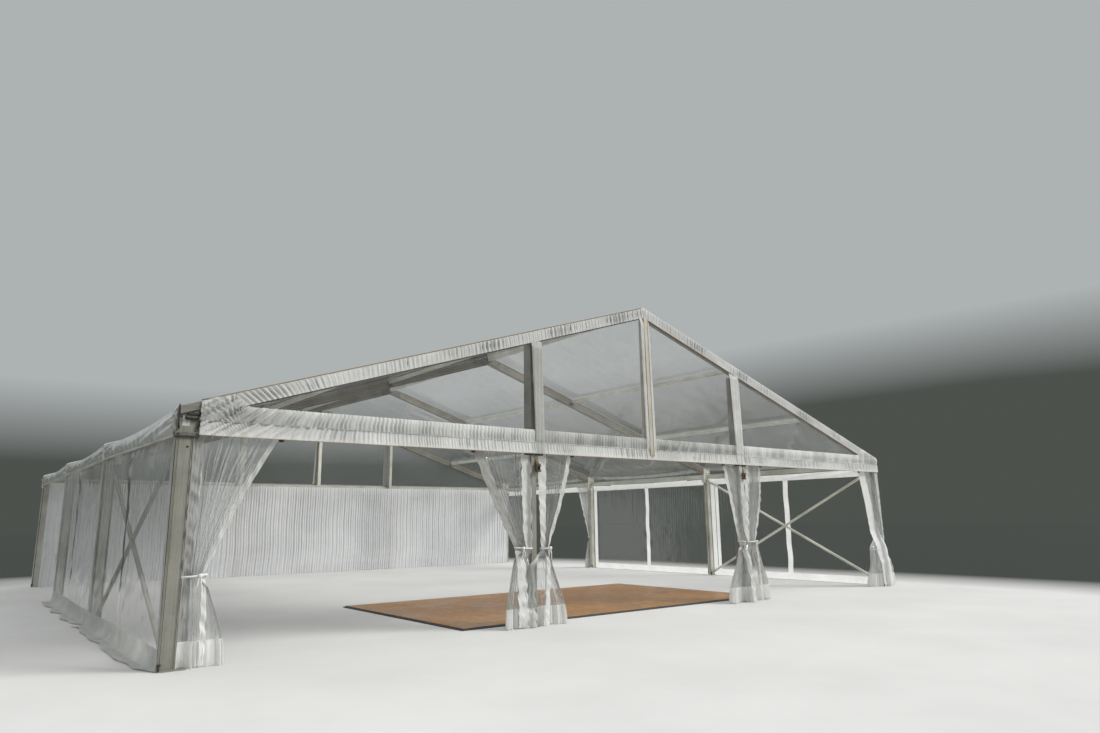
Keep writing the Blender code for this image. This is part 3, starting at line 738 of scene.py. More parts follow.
def roof_sheet(bay, side, sign):
    front, back = BAY_EDGES[bay], BAY_EDGES[bay + 1]
    seed = 10 * bay + (1 if sign > 0 else 2)

    def distance_out(u):
        return FROM_RIDGE + (1 - (1 - u) ** 1.4) * (HALF_SPAN - FROM_RIDGE)

    def shape(u, v):
        across, along = distance_out(u), front + v * (back - front)
        held = np.sin(np.pi * u) ** 0.6 * np.sin(np.pi * v) ** 0.8
        for purlin in PURLIN_X:
            held = held * (1 - CARRIED * np.exp(-(((across - purlin) / CARRIED_WIDTH) ** 2)))
        crease = 0.8 * crumple(across * 0.8, along * 1.6, 1.1, seed)
        crease = crease + ripple(along + 0.12 * across, ROOF_CREASE_PITCH, seed) * (0.4 + 0.6 * u)
        droop = (EAVE - eave_edge(along)) * ease(HALF_SPAN - DROOP_REACH, HALF_SPAN, across)
        height = roof_height(across) - ROOF_SAG * held - droop + ROOF_CREASE * crease * held
        return sign * across, along, height

    def zone(u, v):
        edge = WHITE_EDGE / (back - front)
        border = np.where(distance_out(u) > HALF_SPAN - EAVE_BORDER, 2, 0)
        return np.where((v < edge) | (v > 1 - edge), 1, border)

    name = f"roof_film_{bay + 1}_{side}"
    made = lay_cloth(name, shape, 110, 80, [ROOF_FILM, BORDER_WHITE, EDGE_FILM], zone)
    return declare_sheet(made, "stretched", [f"rafter_{bay + 1}_{side}"], f"roof_sheet_{bay + 1}_{side}")


for bay in range(3):
    for side, sign in SIDES.items():
        print(roof_sheet(bay, side, sign))

# %% [markdown]
# ## The clear gables
#
# The infill of a gable is one clear sheet from the valance up to the roof. It is a triangle, so
# `u` runs across, and `v` from the roof line down to the seam of the valance at that place.

# %% Gable film
GABLE_CREASE = 0.005


def gable_film(gable):
    def shape(u, v):
        across = between(GABLE_LEFT, HALF_SPAN, u)
        height = between(roof_height(across), VALANCE_SEAM, v)
        tight = np.sin(np.pi * v)
        crease = crumple(across, height, 0.9, 5) + 0.6 * ripple(across + height, 0.5, 6)
        return on_gable(gable, across, GABLE_CREASE * tight * crease, height)

    made = lay_cloth(f"{gable}_gable_film", shape, 220, 30, [GABLE_FILM])
    return declare_sheet(made, "stretched", [f"rafter_{GABLES[gable]}_left"], f"{gable}_gable_sheet")


for gable in GABLES:
    print(gable_film(gable))

# %% [markdown]
# ## The valance
#
# Across each gable hangs a white valance in two tiers. The upper tier is gathered between two
# seams, so it bellies out and is all fine upright pleats. The lower tier stands a little proud of
# it and ends in a flat hem. Towards the eaves the upper tier runs up to the roof line. Where the
# fabric is pulled, at the left corner and right of the ridge, the pleats lean over. A lean is easy
# to write down: the pleat's distance across just grows with the height. The upper tier comes in
# three lengths that meet under the cover strips, and each has its own shade: the left and middle
# lengths get darker copies of the white, painted shade, and the right one the plain valance white.

# %% Valance
PLEAT = 0.055  # from one pleat to the next
UPPER_PLEAT_DEPTH = 0.017
LOWER_PLEAT_DEPTH = 0.013
UPPER_BELLY = 0.022
HEM = 0.045
PULLED_PLACES = ((-7.1, 1.2, 1.5), (0.75, 0.55, 0.7))  # middle, reach and lean of each pulled stretch
TIER_MEETS_ROOF = (6.75, 7.0)  # where the upper tier's top edge runs up to the roof line
TIER_JOINTS = (-2.45, 2.45)  # where its three lengths meet, under the cover strips
# On the back gable the upper tier is narrow, because it's hardly seen over the lining.
TIER_TOP = {"front": VALANCE_TOP, "back": VALANCE_SEAM + 0.07}


def lean(across):
    total = 0.0
    for middle, reach, amount in PULLED_PLACES:
        total = total + amount * np.exp(-(((across - middle) / reach) ** 2))
    return total


def pleats(across, height, seed):
    """Pleats on the gable, leaning and deeper where the fabric is pulled."""
    leaning = lean(across)
    drift = across - leaning * (height - VALANCE_SEAM)
    strength = 0.75 + 0.35 * ripple(across, 1.7, seed + 1) + 0.5 * leaning
    broad = 0.9 * leaning * ripple(drift, 2.6 * PLEAT, seed + 3, 0.4)
    return strength * (ripple(drift + 0.01 * ripple(height, 0.2, seed + 2), PLEAT, seed, 0.35) + broad)


def upper_tier(gable):
    def shape(u, v):
        across = between(GABLE_LEFT, HALF_SPAN + 0.004, u)
        rise = ease(*TIER_MEETS_ROOF, np.abs(across))
        top = between(TIER_TOP[gable], roof_height(across) + 0.004, rise)
        height = between(top, VALANCE_SEAM - 0.004, v)
        held = 0.35 + 0.65 * np.sin(np.pi * np.clip(v * 0.92 + 0.06, 0, 1))
        belly = UPPER_BELLY * np.sin(np.pi * v**0.8) * (0.8 + 0.3 * ripple(across, 2.2, 25))
        out = 0.013 + belly + UPPER_PLEAT_DEPTH * held * pleats(across, height, 21)
        return on_gable(gable, across, out, height)

    def zone(u, v):
        across = between(GABLE_LEFT, HALF_SPAN, u)
        return np.where(across < TIER_JOINTS[0], 0, np.where(across < TIER_JOINTS[1], 1, 2))

    # The left and middle lengths get darker copies of the valance white: painted shade.
    finishes = [UPPER_SHADED_WHITE, MIDDLE_SHADED_WHITE, VALANCE_WHITE]
    made = lay_cloth(f"{gable}_valance_upper", shape, 1500, 12, finishes, zone)
    return declare_sheet(made, "gathered", [f"{gable}_transom"], f"{gable}_valance")


def lower_tier_out(across, height):
    """How far the lower tier stands out of the gable, without its pleats."""
    down = np.clip((VALANCE_SEAM - height) / (VALANCE_SEAM - VALANCE_BOTTOM), 0, 1)
    return 0.016 + 0.016 * down + 0.006 * down * ripple(across, 0.9, 31)


def lower_tier(gable):
    def shape(u, v):
        across = between(GABLE_LEFT, HALF_SPAN + 0.02, u)
        height = between(VALANCE_SEAM + 0.004, VALANCE_BOTTOM, v)
        free = 1 - 0.6 * ease(VALANCE_BOTTOM + HEM + 0.02, VALANCE_BOTTOM + HEM - 0.02, height)
        out = lower_tier_out(across, height) + LOWER_PLEAT_DEPTH * free * pleats(across, height, 23)
        return on_gable(gable, across, out, height + 0.004 * v * ripple(across, 1.3, 32))

    made = lay_cloth(f"{gable}_valance_lower", shape, 1400, 9, [VALANCE_WHITE])
    return declare_sheet(made, "hung", [f"{gable}_transom"], f"{gable}_valance")


for gable in GABLES:
    print(upper_tier(gable))
    print(lower_tier(gable))

# %% [markdown]
# ## The white bands along the rafters
#
# The clear gable is edged by a pleated white band that follows each rafter. It is the same kind of
# cloth as the valance, but it slopes: its top edge is the roof line and it hangs straight down.

# %% Rafter bands
BAND_HEIGHT = 0.185
BAND_PLEAT = 0.062
BAND_PLEAT_DEPTH = 0.0135
CALM_PLACE, CALM_REACH = -5.0, 1.1  # where the band is stretched nearly smooth


def rafter_band(gable, side):
    start, end = (GABLE_LEFT, 0.0) if side == "left" else (0.0, HALF_SPAN)

    def shape(u, v):
        across = between(start, end, u)
        height = roof_height(across) + 0.008 - v * BAND_HEIGHT
        near_eave = ease(HALF_SPAN - 2.4, HALF_SPAN - 0.6, np.abs(across))
        calm = 0.45 * np.exp(-(((across - CALM_PLACE) / CALM_REACH) ** 2))
        strength = 0.75 + 0.3 * ripple(across, 1.4, 41) + 0.6 * near_eave - calm
        held = 0.4 + 0.6 * np.sin(np.pi * v)
        leaning = (0.12 + 0.9 * near_eave) * np.sign(across)
        fold = ripple(across + leaning * v * BAND_HEIGHT, BAND_PLEAT, 43, 0.35)
        wave = 0.006 * np.sin(np.pi * v) * ripple(across, 0.8, 44)
        out = 0.010 + wave + BAND_PLEAT_DEPTH * strength * held * fold
        return on_gable(gable, across, out, height)

    made = lay_cloth(f"{gable}_rafter_band_{side}", shape, 700, 8, [VALANCE_WHITE])
    return declare_sheet(made, "stretched", [f"rafter_{GABLES[gable]}_{side}"])


for gable in GABLES:
    for side in SIDES:
        print(rafter_band(gable, side))

# %% [markdown]
# ## Cover strips over the uprights
#
# White strips cover the joints of the clear gable at each upright. They run from under the band at
# the rafter down over the valance. Each is a ribbon that stands proud of the gable, flat in front,
# and lies closely over the two tiers of the valance. The king post has a narrow white border on
# each side instead, and between the two a metal channel with a groove down its face covers it.

# %% Cover strips
STRIP_PROUD = 0.040
STRIP_TOP_TUCK = 0.02
LEFT_STRIP = ((-2.545, -2.335), (-2.47, -2.30))
RIGHT_STRIP = ((2.31, 2.572), (2.39, 2.615))
RIDGE_BORDERS = {
    "ridge_border_left": ((-0.115, -0.035), (-0.065, 0.015)),
    "ridge_border_right": ((0.060, 0.095), (0.110, 0.180)),
}


def strip_profile(height, top):
    """How far a strip stands out: tucked in at the top, and following the tiers below."""
    seam = VALANCE_SEAM
    places = (VALANCE_BOTTOM, seam - 0.03, seam, seam + 0.04, VALANCE_TOP, top - 0.12, top)
    proud = (0.040, 0.026, 0.024, 0.040, STRIP_PROUD, STRIP_PROUD, 0.006)
    return np.interp(height, places, proud)


def cover_strip(gable, name, edges, seed, material):
    """Ribbon whose left and right edges are given at the top and at the bottom."""
    (left_top, right_top), (left_low, right_low) = edges
    top = float(roof_height((left_top + right_top) / 2)) - BAND_HEIGHT + STRIP_TOP_TUCK

    def shape(u, v):
        height = between(top, VALANCE_BOTTOM + 0.002, v)
        wavy = 0.004 * ripple(height, 0.5, seed) * (u - 0.5)
        across = between(between(left_top, left_low, v), between(right_top, right_low, v), u) + wavy
        flat = ease(0, 0.08, u) * ease(0, 0.08, 1 - u)
        fold = 0.003 * ripple(across, 0.07, seed + 1) * flat
        wrinkle = 0.002 * crumple(across, height, 0.25, seed + 2) * flat
        out = strip_profile(height, top) * (0.75 + 0.25 * flat) + fold + wrinkle
        return on_gable(gable, across, out, height)

    made = lay_cloth(f"{gable}_{name}", shape, 22, 90, [material])
    return declare_sheet(made, "stretched", [f"{gable}_transom"])


for gable in GABLES:
    # The left strip gets a darker copy of the white: painted shade.
    print(cover_strip(gable, "strip_left", LEFT_STRIP, 51, STRIP_SHADED_WHITE))
    print(cover_strip(gable, "strip_right", RIGHT_STRIP, 54, BORDER_WHITE))
    for number, (name, edges) in enumerate(RIDGE_BORDERS.items()):
        print(cover_strip(gable, name, edges, 57 + 3 * number, BORDER_WHITE))

# %% [markdown]
# The channel over the king post isn't quite upright, so a plain box won't do. Its body and its
# groove are each the convex hull of eight points, from the edges at the top and at the bottom.

# %% The king post's cover
KING_COVER = ((-0.036, 0.062), (0.014, 0.112))  # left and right edge, at the top and at the bottom
KING_GROOVE = ((0.042, 0.050), (0.092, 0.100))
KING_COVER_OUT = 0.046


def add_face_bar(shape, gable, edges, heights, out):
    """Bar on a gable, with its edges given at the top and at the bottom, and its two depths."""
    corners = []
    for pair, height in zip(edges, heights):
        for across in pair:
            corners += [shape.verts.new(on_gable(gable, across, depth, height)) for depth in out]
    bmesh.ops.convex_hull(shape, input=corners)


def king_cover(gable):
    """Metal channel with a groove down its face."""
    channel, groove = bmesh.new(), bmesh.new()
    heights = (RIDGE - BAND_HEIGHT - 0.01, VALANCE_BOTTOM + 0.07)
    add_face_bar(channel, gable, KING_COVER, heights, (0.012, KING_COVER_OUT))
    # The groove is a dark strip of painted shade.
    add_face_bar(groove, gable, KING_GROOVE, heights, (0.012, KING_COVER_OUT + 0.002))
    return (
        finish_solid(f"{gable}_king_cover", channel, COVER_METAL, 0.004),
        finish_solid(f"{gable}_king_groove", groove, GROOVE_SHADE),
    )


for gable in GABLES:
    print([made.name for made in king_cover(gable)])

# %% [markdown]
# ## Ropes along the edges
#
# Sheets of this kind end in a rope that slides into the groove of a bar. On this tent it is tan,
# and it shows as a thin line along the top of the left rafter band, under the right one, and along
# the bottom of the valance. A white piping covers the seam between the two tiers.

# %% Edge ropes
ROPE = 0.007  # radius
RIGHT_ROPE_END = 6.8  # the rope under the right band stops short of the eave


def edge_ropes(gable):
    shape = bmesh.new()
    left_steps = np.linspace(GABLE_LEFT, -0.05, 60)
    right_steps = np.linspace(0.10, RIGHT_ROPE_END, 60)
    hem_steps = np.linspace(GABLE_LEFT, HALF_SPAN, 60)
    left = [on_gable(gable, x, 0.014, roof_height(x) + 0.010) for x in left_steps]
    under = [on_gable(gable, x, 0.012, roof_height(x) - BAND_HEIGHT) for x in right_steps]
    hem_out = lower_tier_out(hem_steps, VALANCE_BOTTOM) + 0.002
    hem = [on_gable(gable, x, out, VALANCE_BOTTOM - 0.003) for x, out in zip(hem_steps, hem_out)]
    add_tube(shape, left, ROPE, 6)
    add_tube(shape, under, ROPE, 6)
    add_tube(shape, hem, ROPE * 0.7, 6)
    return finish_solid(f"{gable}_edge_ropes", shape, EDGE_ROPE, smooth=True)


def seam_piping(gable):
    shape = bmesh.new()
    line = [on_gable(gable, x, 0.020, VALANCE_SEAM + 0.002) for x in (GABLE_LEFT, 0.0, HALF_SPAN)]
    add_tube(shape, line, 0.006, 6)
    return finish_solid(f"{gable}_seam_piping", shape, VALANCE_WHITE, smooth=True)


for gable in GABLES:
    print(edge_ropes(gable).name, seam_piping(gable).name)

# %% [markdown]
# ## The side walls
#
# Two bays of each side are closed by clear film that hangs from a rail at the eave, with white
# borders, a joint down the middle and a white skirt at the foot. One sheet a bay is enough: `zone`
# gives the columns of a border and the rows of the skirt their own material.
#
# The left wall hangs slack, with upright creases under the rail and its skirt spread out on the
# ground. Both ends of a bay have a narrow border, and its joint is only a doubled strip of film.
# The right wall is tidier, and its skirt hangs straight. There only the far end of a bay has a
# border, which is two strips with a gap where it is broad, and the joint is white.

# %% Side walls
WALL_BORDER = {"left": (0.09, 0.09), "right": (0.30, 0.17)}  # its width in the first and second bay
BORDER_GAP = (0.185, 0.205)  # from the sheet's end, in a border that is broad enough
JOINT_WIDTH = 0.13
JOINT_REACH, JOINT_SWAY = 0.12, 0.020  # how much film bends with the joint, and how far
SKIRT_BEND = 0.12  # length of cloth in which the wall turns into the skirt
JOINT_WAVE = {"left": 0.5, "right": 1.3}  # metres of height from one bend of the joint to the next
SKIRT = {"left": 0.22, "right": 0.16}
SKIRT_SPREAD = {"left": 0.19, "right": 0.01}
SLACK = {"left": 1.0, "right": 0.12}
RAIL_TILT = {"left": 0.07, "right": 0.0}  # the left rail climbs by this much along its first bay
WALL_FINISHES = {
    "left": [WALL_FILM, SKIRT_WHITE, EDGE_FILM],
    "right": [CLEAR_WALL_FILM, WALL_WHITE, WALL_WHITE],
}
CREASE_DEPTH = 0.017
CREASE_PITCH = 0.075
WALL_COLUMNS = {"left": 420, "right": 280}  # the slack film has more creases to show


def rail_height(side, along):
    climb = np.clip((along - BAY_EDGES[0]) / (BAY_EDGES[1] - BAY_EDGES[0]), 0, 1)
    return WALL_TOP - 0.005 + RAIL_TILT[side] * climb


def wall_relief(along, u, down, height, seed):
    """How far the film of a wall stands out: creases under the rail, a billow, rucks near the foot."""
    fan = along + 0.10 * down * (u - 0.5)
    near_rail = 0.25 + np.exp(-((down / 0.75) ** 2))
    creases = ripple(fan, CREASE_PITCH, seed + 1, 0.45) * near_rail * CREASE_DEPTH
    creases = creases * ease(-0.02, 0.12, down)
    billow = crumple(along, height * 0.5, 1.5, seed + 2) * 0.016 * ease(0, 0.4, down)
    rucks = crumple(along, height, 0.30, seed + 3) * 0.006 * ease(0.8, 2.0, down)
    held = ease(0, 0.05, u) * ease(0, 0.05, 1 - u) * 0.8 + 0.2
    return (creases + billow + rucks) * held


def side_wall(side, sign, bay):
    front, back = BAY_EDGES[bay], BAY_EDGES[bay + 1]
    length, slack = back - front, SLACK[side]
    seed = 60 + 7 * bay + (0 if side == "left" else 3)
    spread_out, skirt = SKIRT_SPREAD[side], SKIRT[side]
    drop = WALL_TOP + spread_out  # cloth from the rail to the far edge of the skirt

    def shape(u, v):
        down = drop * v
        along = front + u * length
        turn = np.clip((down - WALL_TOP + SKIRT_BEND) / (spread_out + SKIRT_BEND), 0, 1)
        hanging = np.maximum(rail_height(side, along) * (1 - down / WALL_TOP), 0.004)
        height = between(hanging, 0.006, turn)
        joint = np.exp(-(((u - 0.5) * length / JOINT_REACH) ** 2))
        along = along + JOINT_SWAY * joint * ripple(height, JOINT_WAVE[side], seed)
        out = wall_relief(along, u, down, height, seed) * slack * (1 - 0.7 * turn)
        out = out + 0.008 * joint * ripple(height, 0.6, seed + 4)
        lie = spread_out * turn**1.3 * (1 + 0.25 * ripple(along, 1.4, seed + 5)) * ease(-0.02, 0.10, u)
        lift = 0.016 * turn * (0.6 + 0.5 * ripple(along + 0.3 * lie, 0.33, seed + 6)) * slack
        return sign * (WALL_X + 0.004 + np.maximum(out, -0.012) + lie), along, height + lift

    def zone(u, v):
        from_edge = (np.minimum(u, 1 - u) if side == "left" else 1 - u) * length
        in_joint = np.abs(u - 0.5) * length < JOINT_WIDTH / 2
        gap = (from_edge > BORDER_GAP[0]) & (from_edge < BORDER_GAP[1])
        white = ((from_edge < WALL_BORDER[side][bay]) & ~gap) | (drop * v > WALL_TOP - skirt)
        return np.where(white, 1, np.where(in_joint, 2, 0))

    name = f"wall_film_{bay + 1}_{side}"
    made = lay_cloth(name, shape, WALL_COLUMNS[side], 72, WALL_FINISHES[side], zone)
    return declare_sheet(made, "hung", [f"eave_beam_{side}"], f"side_wall_{bay + 1}_{side}")


for side, sign in SIDES.items():
    for bay in (0, 1):
        print(side_wall(side, sign, bay))

# %% [markdown]
# ## The flap and the rail at the eave
#
# The roof sheet turns down over the eave beam as a flap, from the drooping edge of the roof to the
# rail that the wall hangs from. On the left it is slack clear film with long soft folds, gathered
# at the leg heads, and its rail is a slim pale bar. On the right it ends in a broad white band that
# covers the rail.

# %% Eave flaps
WHITE_BAND = (2.48, 2.64)  # heights of its lower and upper edge, on the right
PULLED_END = 0.11  # this near to a leg head the flap is folded so much that it looks white
FLAP_BULGE = {"left": 0.030, "right": 0.012}


def from_frame(along):
    """Distance along the tent to the nearest frame."""
    return np.min([np.abs(along - y) for y in FRAME_Y], axis=0)


def flap_bottom(side, along):
    return rail_height(side, along) if side == "left" else WHITE_BAND[0] + 0 * along


def eave_flap(side, sign):
    def place(u, v):
        along = between(BAY_EDGES[0], BAY_EDGES[3], u)
        return along, between(eave_edge(along) - 0.002, flap_bottom(side, along), v)

    def shape(u, v):
        along, height = place(u, v)
        loose = np.sin(np.pi * v)
        near = np.exp(-((from_frame(along) / 0.5) ** 2))
        folds = 0.011 * (0.4 + near) * ripple(height + 0.10 * along, 0.12, 72)
        bulge = FLAP_BULGE[side] * loose * (1 - 0.6 * near)
        wrinkle = 0.004 * ripple(along - 0.4 * height, 0.35, 71) * (0.3 + loose)
        return sign * (WALL_X + 0.010 + bulge + wrinkle + folds * loose), along, height

    def zone(u, v):
        along, height = place(u, v)
        if side == "left":
            return np.where(from_frame(along) < PULLED_END, 1, 0)
        return np.where(height < WHITE_BAND[1], 1, 0)

    finishes = [FLAP_FILM if side == "left" else CLEAR_WALL_FILM, WALL_WHITE]
    made = lay_cloth(f"eave_flap_{side}", shape, 500, 16, finishes, zone)
    return declare_sheet(made, "hung", [f"eave_beam_{side}"], f"eave_band_{side}")


for side, sign in SIDES.items():
    print(eave_flap(side, sign))

# %% [markdown]
# The left wall hangs from a slim round rail that shows under the flap. It climbs with the wall's
# top edge, so it is a tube through points on that edge, one tube a bay, with a gap at each frame.

# %% Rails at the eave
RAIL = 0.015  # radius


def eave_rail(side, sign):
    shape = bmesh.new()
    for bay in range(3):
        ends = np.linspace(BAY_EDGES[bay] + 0.02, BAY_EDGES[bay + 1] - 0.02, 9)
        line = [(sign * (WALL_X + 0.024), y, float(rail_height(side, y)) + 0.008) for y in ends]
        add_tube(shape, line, RAIL)
    return finish_solid(f"eave_rail_{side}", shape, PALE_METAL, smooth=True)


print(eave_rail("left", SIDES["left"]).name)

# %% [markdown]
# ## The lining at the back
#
# The back of the tent is closed by a white pleated lining. It hangs from a header a hand wide, and
# its pleats run straight to the ground. They are uneven in step and depth, because each panel was
# gathered by hand. Each panel is 1.2 m wide and has a slightly different fullness.

# %% Lining
LINING_PLEAT = 0.085
LINING_DEPTH = 0.015
LINING_PANEL = 1.22


def back_lining():
    low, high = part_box("back_lining")
    middle = (low.y + high.y) / 2

    def shape(u, v):
        across = between(low.x, high.x, u)
        height = between(high.z, 0.006, v)
        panel = np.abs(np.sin(np.pi * across / LINING_PANEL)) ** 0.35
        sway = 0.02 * ripple(height, 1.6, 83) * v
        fold = ripple(across + sway, LINING_PLEAT, 81, 0.6)
        fold = np.sign(fold) * np.abs(fold) ** 0.75
        depth = LINING_DEPTH * (0.35 + 0.65 * ease(0.0, 0.12, v)) * (0.45 + 0.55 * panel)
        pull = 0.005 * crumple(across, height, 0.9, 84)
        return across, middle + depth * fold + pull, height

    made = lay_cloth("pleated_lining", shape, 1800, 12, [LINING_WHITE])
    return declare_sheet(made, "gathered", ["back_transom"], "back_lining")


print(back_lining())

# %% [markdown]
# ## The tied-back curtains
#
# The front is closed, when it is closed, by wide clear curtains with white borders and a white
# foot. Here they are drawn aside and tied to the posts, so each hangs as an hourglass: spread along
# the rail, gathered at the tie, and flared on the ground.
#
# Such a curtain could be simulated, but a tied cloth has a plain order that is easier to control
# when it is written down. At each height four edges are known: the two edges of the border along
# the post and the two of the outer border. The film fills the space between them in folds that
# follow lines of constant `u`, so they run together at the tie by themselves. Below the tie the
# outer border drops straight down in front, while the film behind it swings further out. There the
# border gets a brighter copy of the white, painted light, and a curtain at an upright has folded
# its other border away.

# %% Curtain edges
CURTAIN_FOOT = 0.29  # height of the white foot
POST_BORDER_END, OUTER_BORDER_START = 0.16, 0.86  # shares of the cloth's width
FOLDS = 11.0
SWING_PLACE = 0.66  # share of the film that swings out most


def curtain_edges(sizes, height, rail):
    """Distances from the post to the four edges of the borders at a height."""
    tie = sizes["tie_height"]
    rise = np.clip((height - tie) / (rail - tie), 0, 1)
    fall = np.clip((tie - height) / tie, 0, 1)
    above = between(sizes["tie"], sizes["rail"], rise) + sizes["sweep"] * np.sin(np.pi * rise)
    outer = np.where(height > tie, above, between(sizes["tie"], sizes["edge_foot"], fall))
    at_rail, at_tie, at_foot = sizes["start"]
    inner = between(at_tie, at_rail, rise) + (at_foot - at_tie) * ease(0.0, sizes["settled"], fall)
    spreading = np.maximum(rise, fall) ** 0.7
    inner_end = inner + between(sizes["tied"][0], sizes["post_border"], spreading)
    outer_start = outer - between(sizes["tied"][1], sizes["border"] * (1 + 0.1 * fall), spreading)
    return inner, np.minimum(inner_end, outer), outer_start, outer


def curtain_across(sizes, edges, u, fall, gather):
    """Where each thread of the cloth lies between the edges."""
    inner, inner_end, outer_start, outer = edges
    film = np.clip((u - POST_BORDER_END) / (OUTER_BORDER_START - POST_BORDER_END), 0, 1)
    width = outer_start - inner_end
    furthest = between(outer + sizes["bundle"] * gather, sizes["foot"], ease(0.0, 0.95, fall) ** 0.8)
    starting = gather if sizes["bundle"] else ease(0.0, 0.15, fall)
    swing = (furthest - inner_end - SWING_PLACE * width) * starting
    across = inner_end + film * width + swing * np.sin(np.pi * film**1.67)
    across = np.where(u < POST_BORDER_END, between(inner, inner_end, u / POST_BORDER_END), across)
    outer_share = (u - OUTER_BORDER_START) / (1 - OUTER_BORDER_START)
    return np.where(u > OUTER_BORDER_START, between(outer_start, outer, outer_share), across), film


film_share = round(OUTER_BORDER_START - POST_BORDER_END, 2)
print("Film takes up", film_share, "of a curtain's cloth, in about", FOLDS, "folds")

# %% [markdown]
# With the edges known, the folds are added: waves across the film that stand out of the cloth's
# plane, finer ones above the tie, and a shift sideways that laps one fold over the next. The
# borders have no folds but are crinkled. The shape is a function of `u` and `v` again, and `place`
# turns it into the world, so the same curtain can hang in a gable or in a side wall.

# %% Curtain folds
CURTAIN_HEM = 0.008  # height of the cloth's end
WAIST_REACH = 0.14  # up and down from the tie
GATHER_REACH = 0.45  # above the tie, where the cloth starts to gather
LAP = 0.22  # share of a fold's width that it moves sideways
OVER_POST = 0.062  # what reaches past the post lies this far in front of it
LIT_UNDER_TIE = 0.03  # the outer border is painted lit from this far under the tie


def curtain_shape(sizes, rail, place):
    seed, tie = sizes["seed"], sizes["tie_height"]

    def shape(u, v):
        height = between(rail, CURTAIN_HEM, v)
        edges = curtain_edges(sizes, height, rail)
        fall = np.clip(1 - height / tie, 0, 1)
        waist = np.exp(-(((height - tie) / WAIST_REACH) ** 2))
        gather = ease(tie + GATHER_REACH, tie, height)
        across, film = curtain_across(sizes, edges, u, fall, gather)
        in_film = ease(0.0, 0.08, film) * ease(0.0, 0.08, 1 - film)
        # The film's folds are shallow at the rail and deeper towards the ground and at the waist.
        # Below the tie the film also swings forwards and back in broad lobes.
        phase = film + 0.012 * ripple(height, 0.8, seed + 2)
        fold = ripple(phase, 1 / FOLDS, seed, 0.35)
        lap = ripple(phase + 0.25 / FOLDS, 1 / FOLDS, seed, 0.35)
        fine = ripple(phase, 0.4 / FOLDS, seed + 5, 0.4) * (1 - fall)
        lobe = np.sin(math.tau * (1.4 * film + 0.13 * seed))
        depth = 0.010 + 0.012 * ease(rail, 1.6, height) + 0.014 * fall + 0.012 * waist
        out = (depth * fold + 0.006 * fine + 0.07 * fall**1.3 * lobe) * in_film
        across = across + LAP * np.abs(edges[2] - edges[1]) / FOLDS * lap * in_film * (1 - 0.5 * fall)
        # The borders are crinkled, and below the tie the outer one hangs in front of the film.
        crinkle = 0.007 * ripple(height + 0.6 * u, 0.21, seed + 7)
        crinkle = crinkle + 0.004 * crumple(height, u * 2.5, 0.12, seed + 9)
        out = out + (1 - in_film) * crinkle * (1 + fall) * sizes["crinkled"]
        across = across + (1 - in_film) * 0.006 * ripple(height, 0.27, seed + 4) * sizes["crinkled"]
        front = ease(OUTER_BORDER_START - 0.02, OUTER_BORDER_START, u)
        drop = gather if sizes["bundle"] else ease(0.0, 0.25, fall)
        out = out + sizes["border_out"] * front * drop - 0.02 * (1 - front) * fall
        # The bundle at the tie is round, and some curtains stand forward on the ground.
        out = out + 0.035 * waist * np.sin(np.pi * u) + sizes["forward"] * ease(0.0, 0.4, fall)
        out = out + 0.002 * crumple(u * 2.0, height * 0.3, 0.14, seed + 3)
        out = out + OVER_POST * ease(0.03, -0.005, across)
        # Below the tie the post's border bulges out in small folds, and the hem isn't quite level.
        post_side = np.sin(np.pi * np.clip(u / POST_BORDER_END, 0, 1)) * ease(0.0, 0.3, fall)
        out = out + sizes["free_side"] * post_side * (0.05 + 0.016 * ripple(u, 0.045, seed + 8))
        hem = 0.014 * ripple(u, 0.3, seed + 6) * fall**6
        return place(across, out, np.maximum(height + hem, 0.004))

    return shape


def curtain(name, sizes, rail, place, rests_on):
    def zone(u, v):
        height = between(rail, CURTAIN_HEM, v)
        folded_away = sizes["free_side"] * sizes["tie_height"]  # below it the post's border isn't seen
        post_side = np.where(height > folded_away, 1, 4)
        # Under this height the outer border gets the brighter white, which is painted light.
        outer_side = np.where(height > sizes["tie_height"] - LIT_UNDER_TIE, 3, 2)
        upper = np.where(u < POST_BORDER_END, post_side, np.where(u > OUTER_BORDER_START, outer_side, 0))
        return np.where(height < CURTAIN_FOOT, 2, upper)

    shape = curtain_shape(sizes, rail, place)
    film = GATHERED_FILM if sizes["narrow"] else CURTAIN_FILM
    post_white, outer_white = sizes["whites"]
    finishes = [film, post_white, FOOT_AND_LIT_WHITE, outer_white, GATHERED_FILM]
    made = lay_cloth(name + "_cloth", shape, 190, 96, finishes, zone)
    return declare_sheet(made, "hung", rests_on, name)


print("Curtain helpers are ready")

# %% [markdown]
# Each curtain has its own set of distances, all measured from the post it is tied to: how far it
# reaches along the rail, at the tie and on the ground, where its inner edge starts at the rail, at
# the tie and on the ground, and how wide its borders are. The corner curtain on the right wraps
# over the front of its leg, so its inner edge starts at a negative distance. Its outer border is
# broad, and it lies over the tied film instead of behind it. The borders are the same cloth, but
# some are turned away from the light, so each curtain says which whites its two borders have.

# %% Six front curtains


